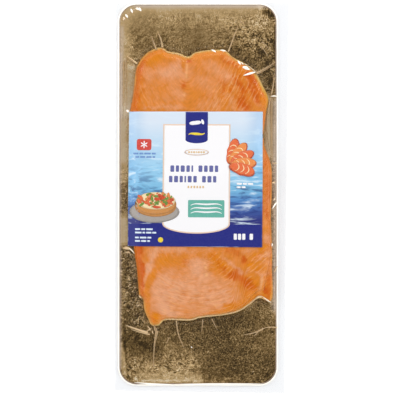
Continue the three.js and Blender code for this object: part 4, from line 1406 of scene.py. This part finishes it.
print_piece("badge_star", "white", [blob(11.8, 77.7, lambda angle: 1.7 + 1.2 * np.cos(6 * angle), 3, 0.5,
                                         96)])
print_piece("badge_blocks", "mist", blocks(3.6, 70.2, 1.3, (4, 3, 5, 3), 0.7, 2)
            + blocks(5.2, 67.6, 1.3, (3, 4, 4, 2), 0.7, 2))
print_piece("side_blocks", "white", blocks(82.4, 47.4, 1.4, (4, 3, 4), 0.7, 2)
            + blocks(82.4, 44.8, 1.4, (3, 3), 0.7, 2))

# %% Salmon slices and the plate
SALMON_FAN = {"pivot": (76.6, 62.4), "reach": 10.6, "length": 9.8, "width": 4.3, "slices": 5,
              "first": 1.32, "step": -0.40}


def wavy(length, width, phase):
    """The reach of a slice drawn flat: an ellipse whose edge swings in and out five times."""
    return lambda angle: ellipse(length, width)(angle) * (1 + 0.05 * np.sin(5 * angle + phase))


def salmon_fan(pivot, reach, length, width, slices, first, step):
    """Slices fanned out like cards: for each one a shade, a face and three fat lines bent across it."""
    bodies = {"deep": [], "coral": [], "orange": [], "cream": []}
    for k in range(slices):
        turn, level = first + step * k, 4 + 3 * k
        ahead, aside = np.array([math.cos(turn), math.sin(turn)]), np.array([-math.sin(turn), math.cos(turn)])
        middle = np.array(pivot) + reach * ahead
        face = "orange" if k % 2 else "coral"
        bodies["deep"].append(blob(*(middle - 0.5 * aside), wavy(length + 0.3, width + 0.3, k), level, turn))
        bodies[face].append(blob(*middle, wavy(length, width, k), level + 1, turn))
        for way in (-0.35, 0.05, 0.45):
            guides = [middle + length * (way + bend) * ahead + width * side * aside
                      for bend, side in ((-0.16, -0.7), (0.26, 0.0), (-0.16, 0.7))]
            bodies["cream"].append(stroke(guides, 0.7, level + 2))
    return bodies


for ink_name, bodies in salmon_fan(**SALMON_FAN).items():
    print_piece("salmon_fan_" + ink_name, ink_name, bodies)

TARTLET = {"middle": (21.0, 33.0), "half_width": 15.0, "half_height": 6.2, "seed": 71, "pieces": 70}


def tartlet_topping(ink_name, share, seed, level):
    """Bits of topping of one kind, strewn over the tartlet's oval."""
    random = np.random.default_rng(seed)
    bodies = []
    for _ in range(int(TARTLET["pieces"] * share)):
        way, turn = math.sqrt(random.uniform(0, 0.8)), random.uniform(0, 2 * math.pi)
        across = TARTLET["middle"][0] + TARTLET["half_width"] * way * math.cos(turn)
        up = TARTLET["middle"][1] + 2.4 + TARTLET["half_height"] * way * math.sin(turn)
        size = random.uniform(0.8, 2.0)
        bodies.append(blob(across, up, leaf(size * 1.3, size * 0.7), level, random.uniform(0, 3.1), 20, 2))
    print_piece("topping_" + ink_name, ink_name, bodies)


middle_x, middle_y = TARTLET["middle"]
print_piece("plate", "grey", [blob(middle_x - 1, middle_y - 6.6, ellipse(19.2, 8.4), 4.4)])
print_piece("tartlet_side", "crust", [
    blob(middle_x, middle_y - 2.4 + lift, ellipse(15.8, 8.0), 5.4 + lift / 4) for lift in (0, 1.6)])
print_piece("tartlet_top", "cream", [blob(middle_x, middle_y + 1.8, ellipse(15, 6.6), 6.6)])
TOPPINGS = [("crust", 0.25), ("orange", 0.3), ("green", 0.35), ("coral", 0.3), ("deep", 0.12)]
for level, (ink_name, share) in enumerate(TOPPINGS):
    tartlet_topping(ink_name, share, TARTLET["seed"] + level, 7.4 + level)
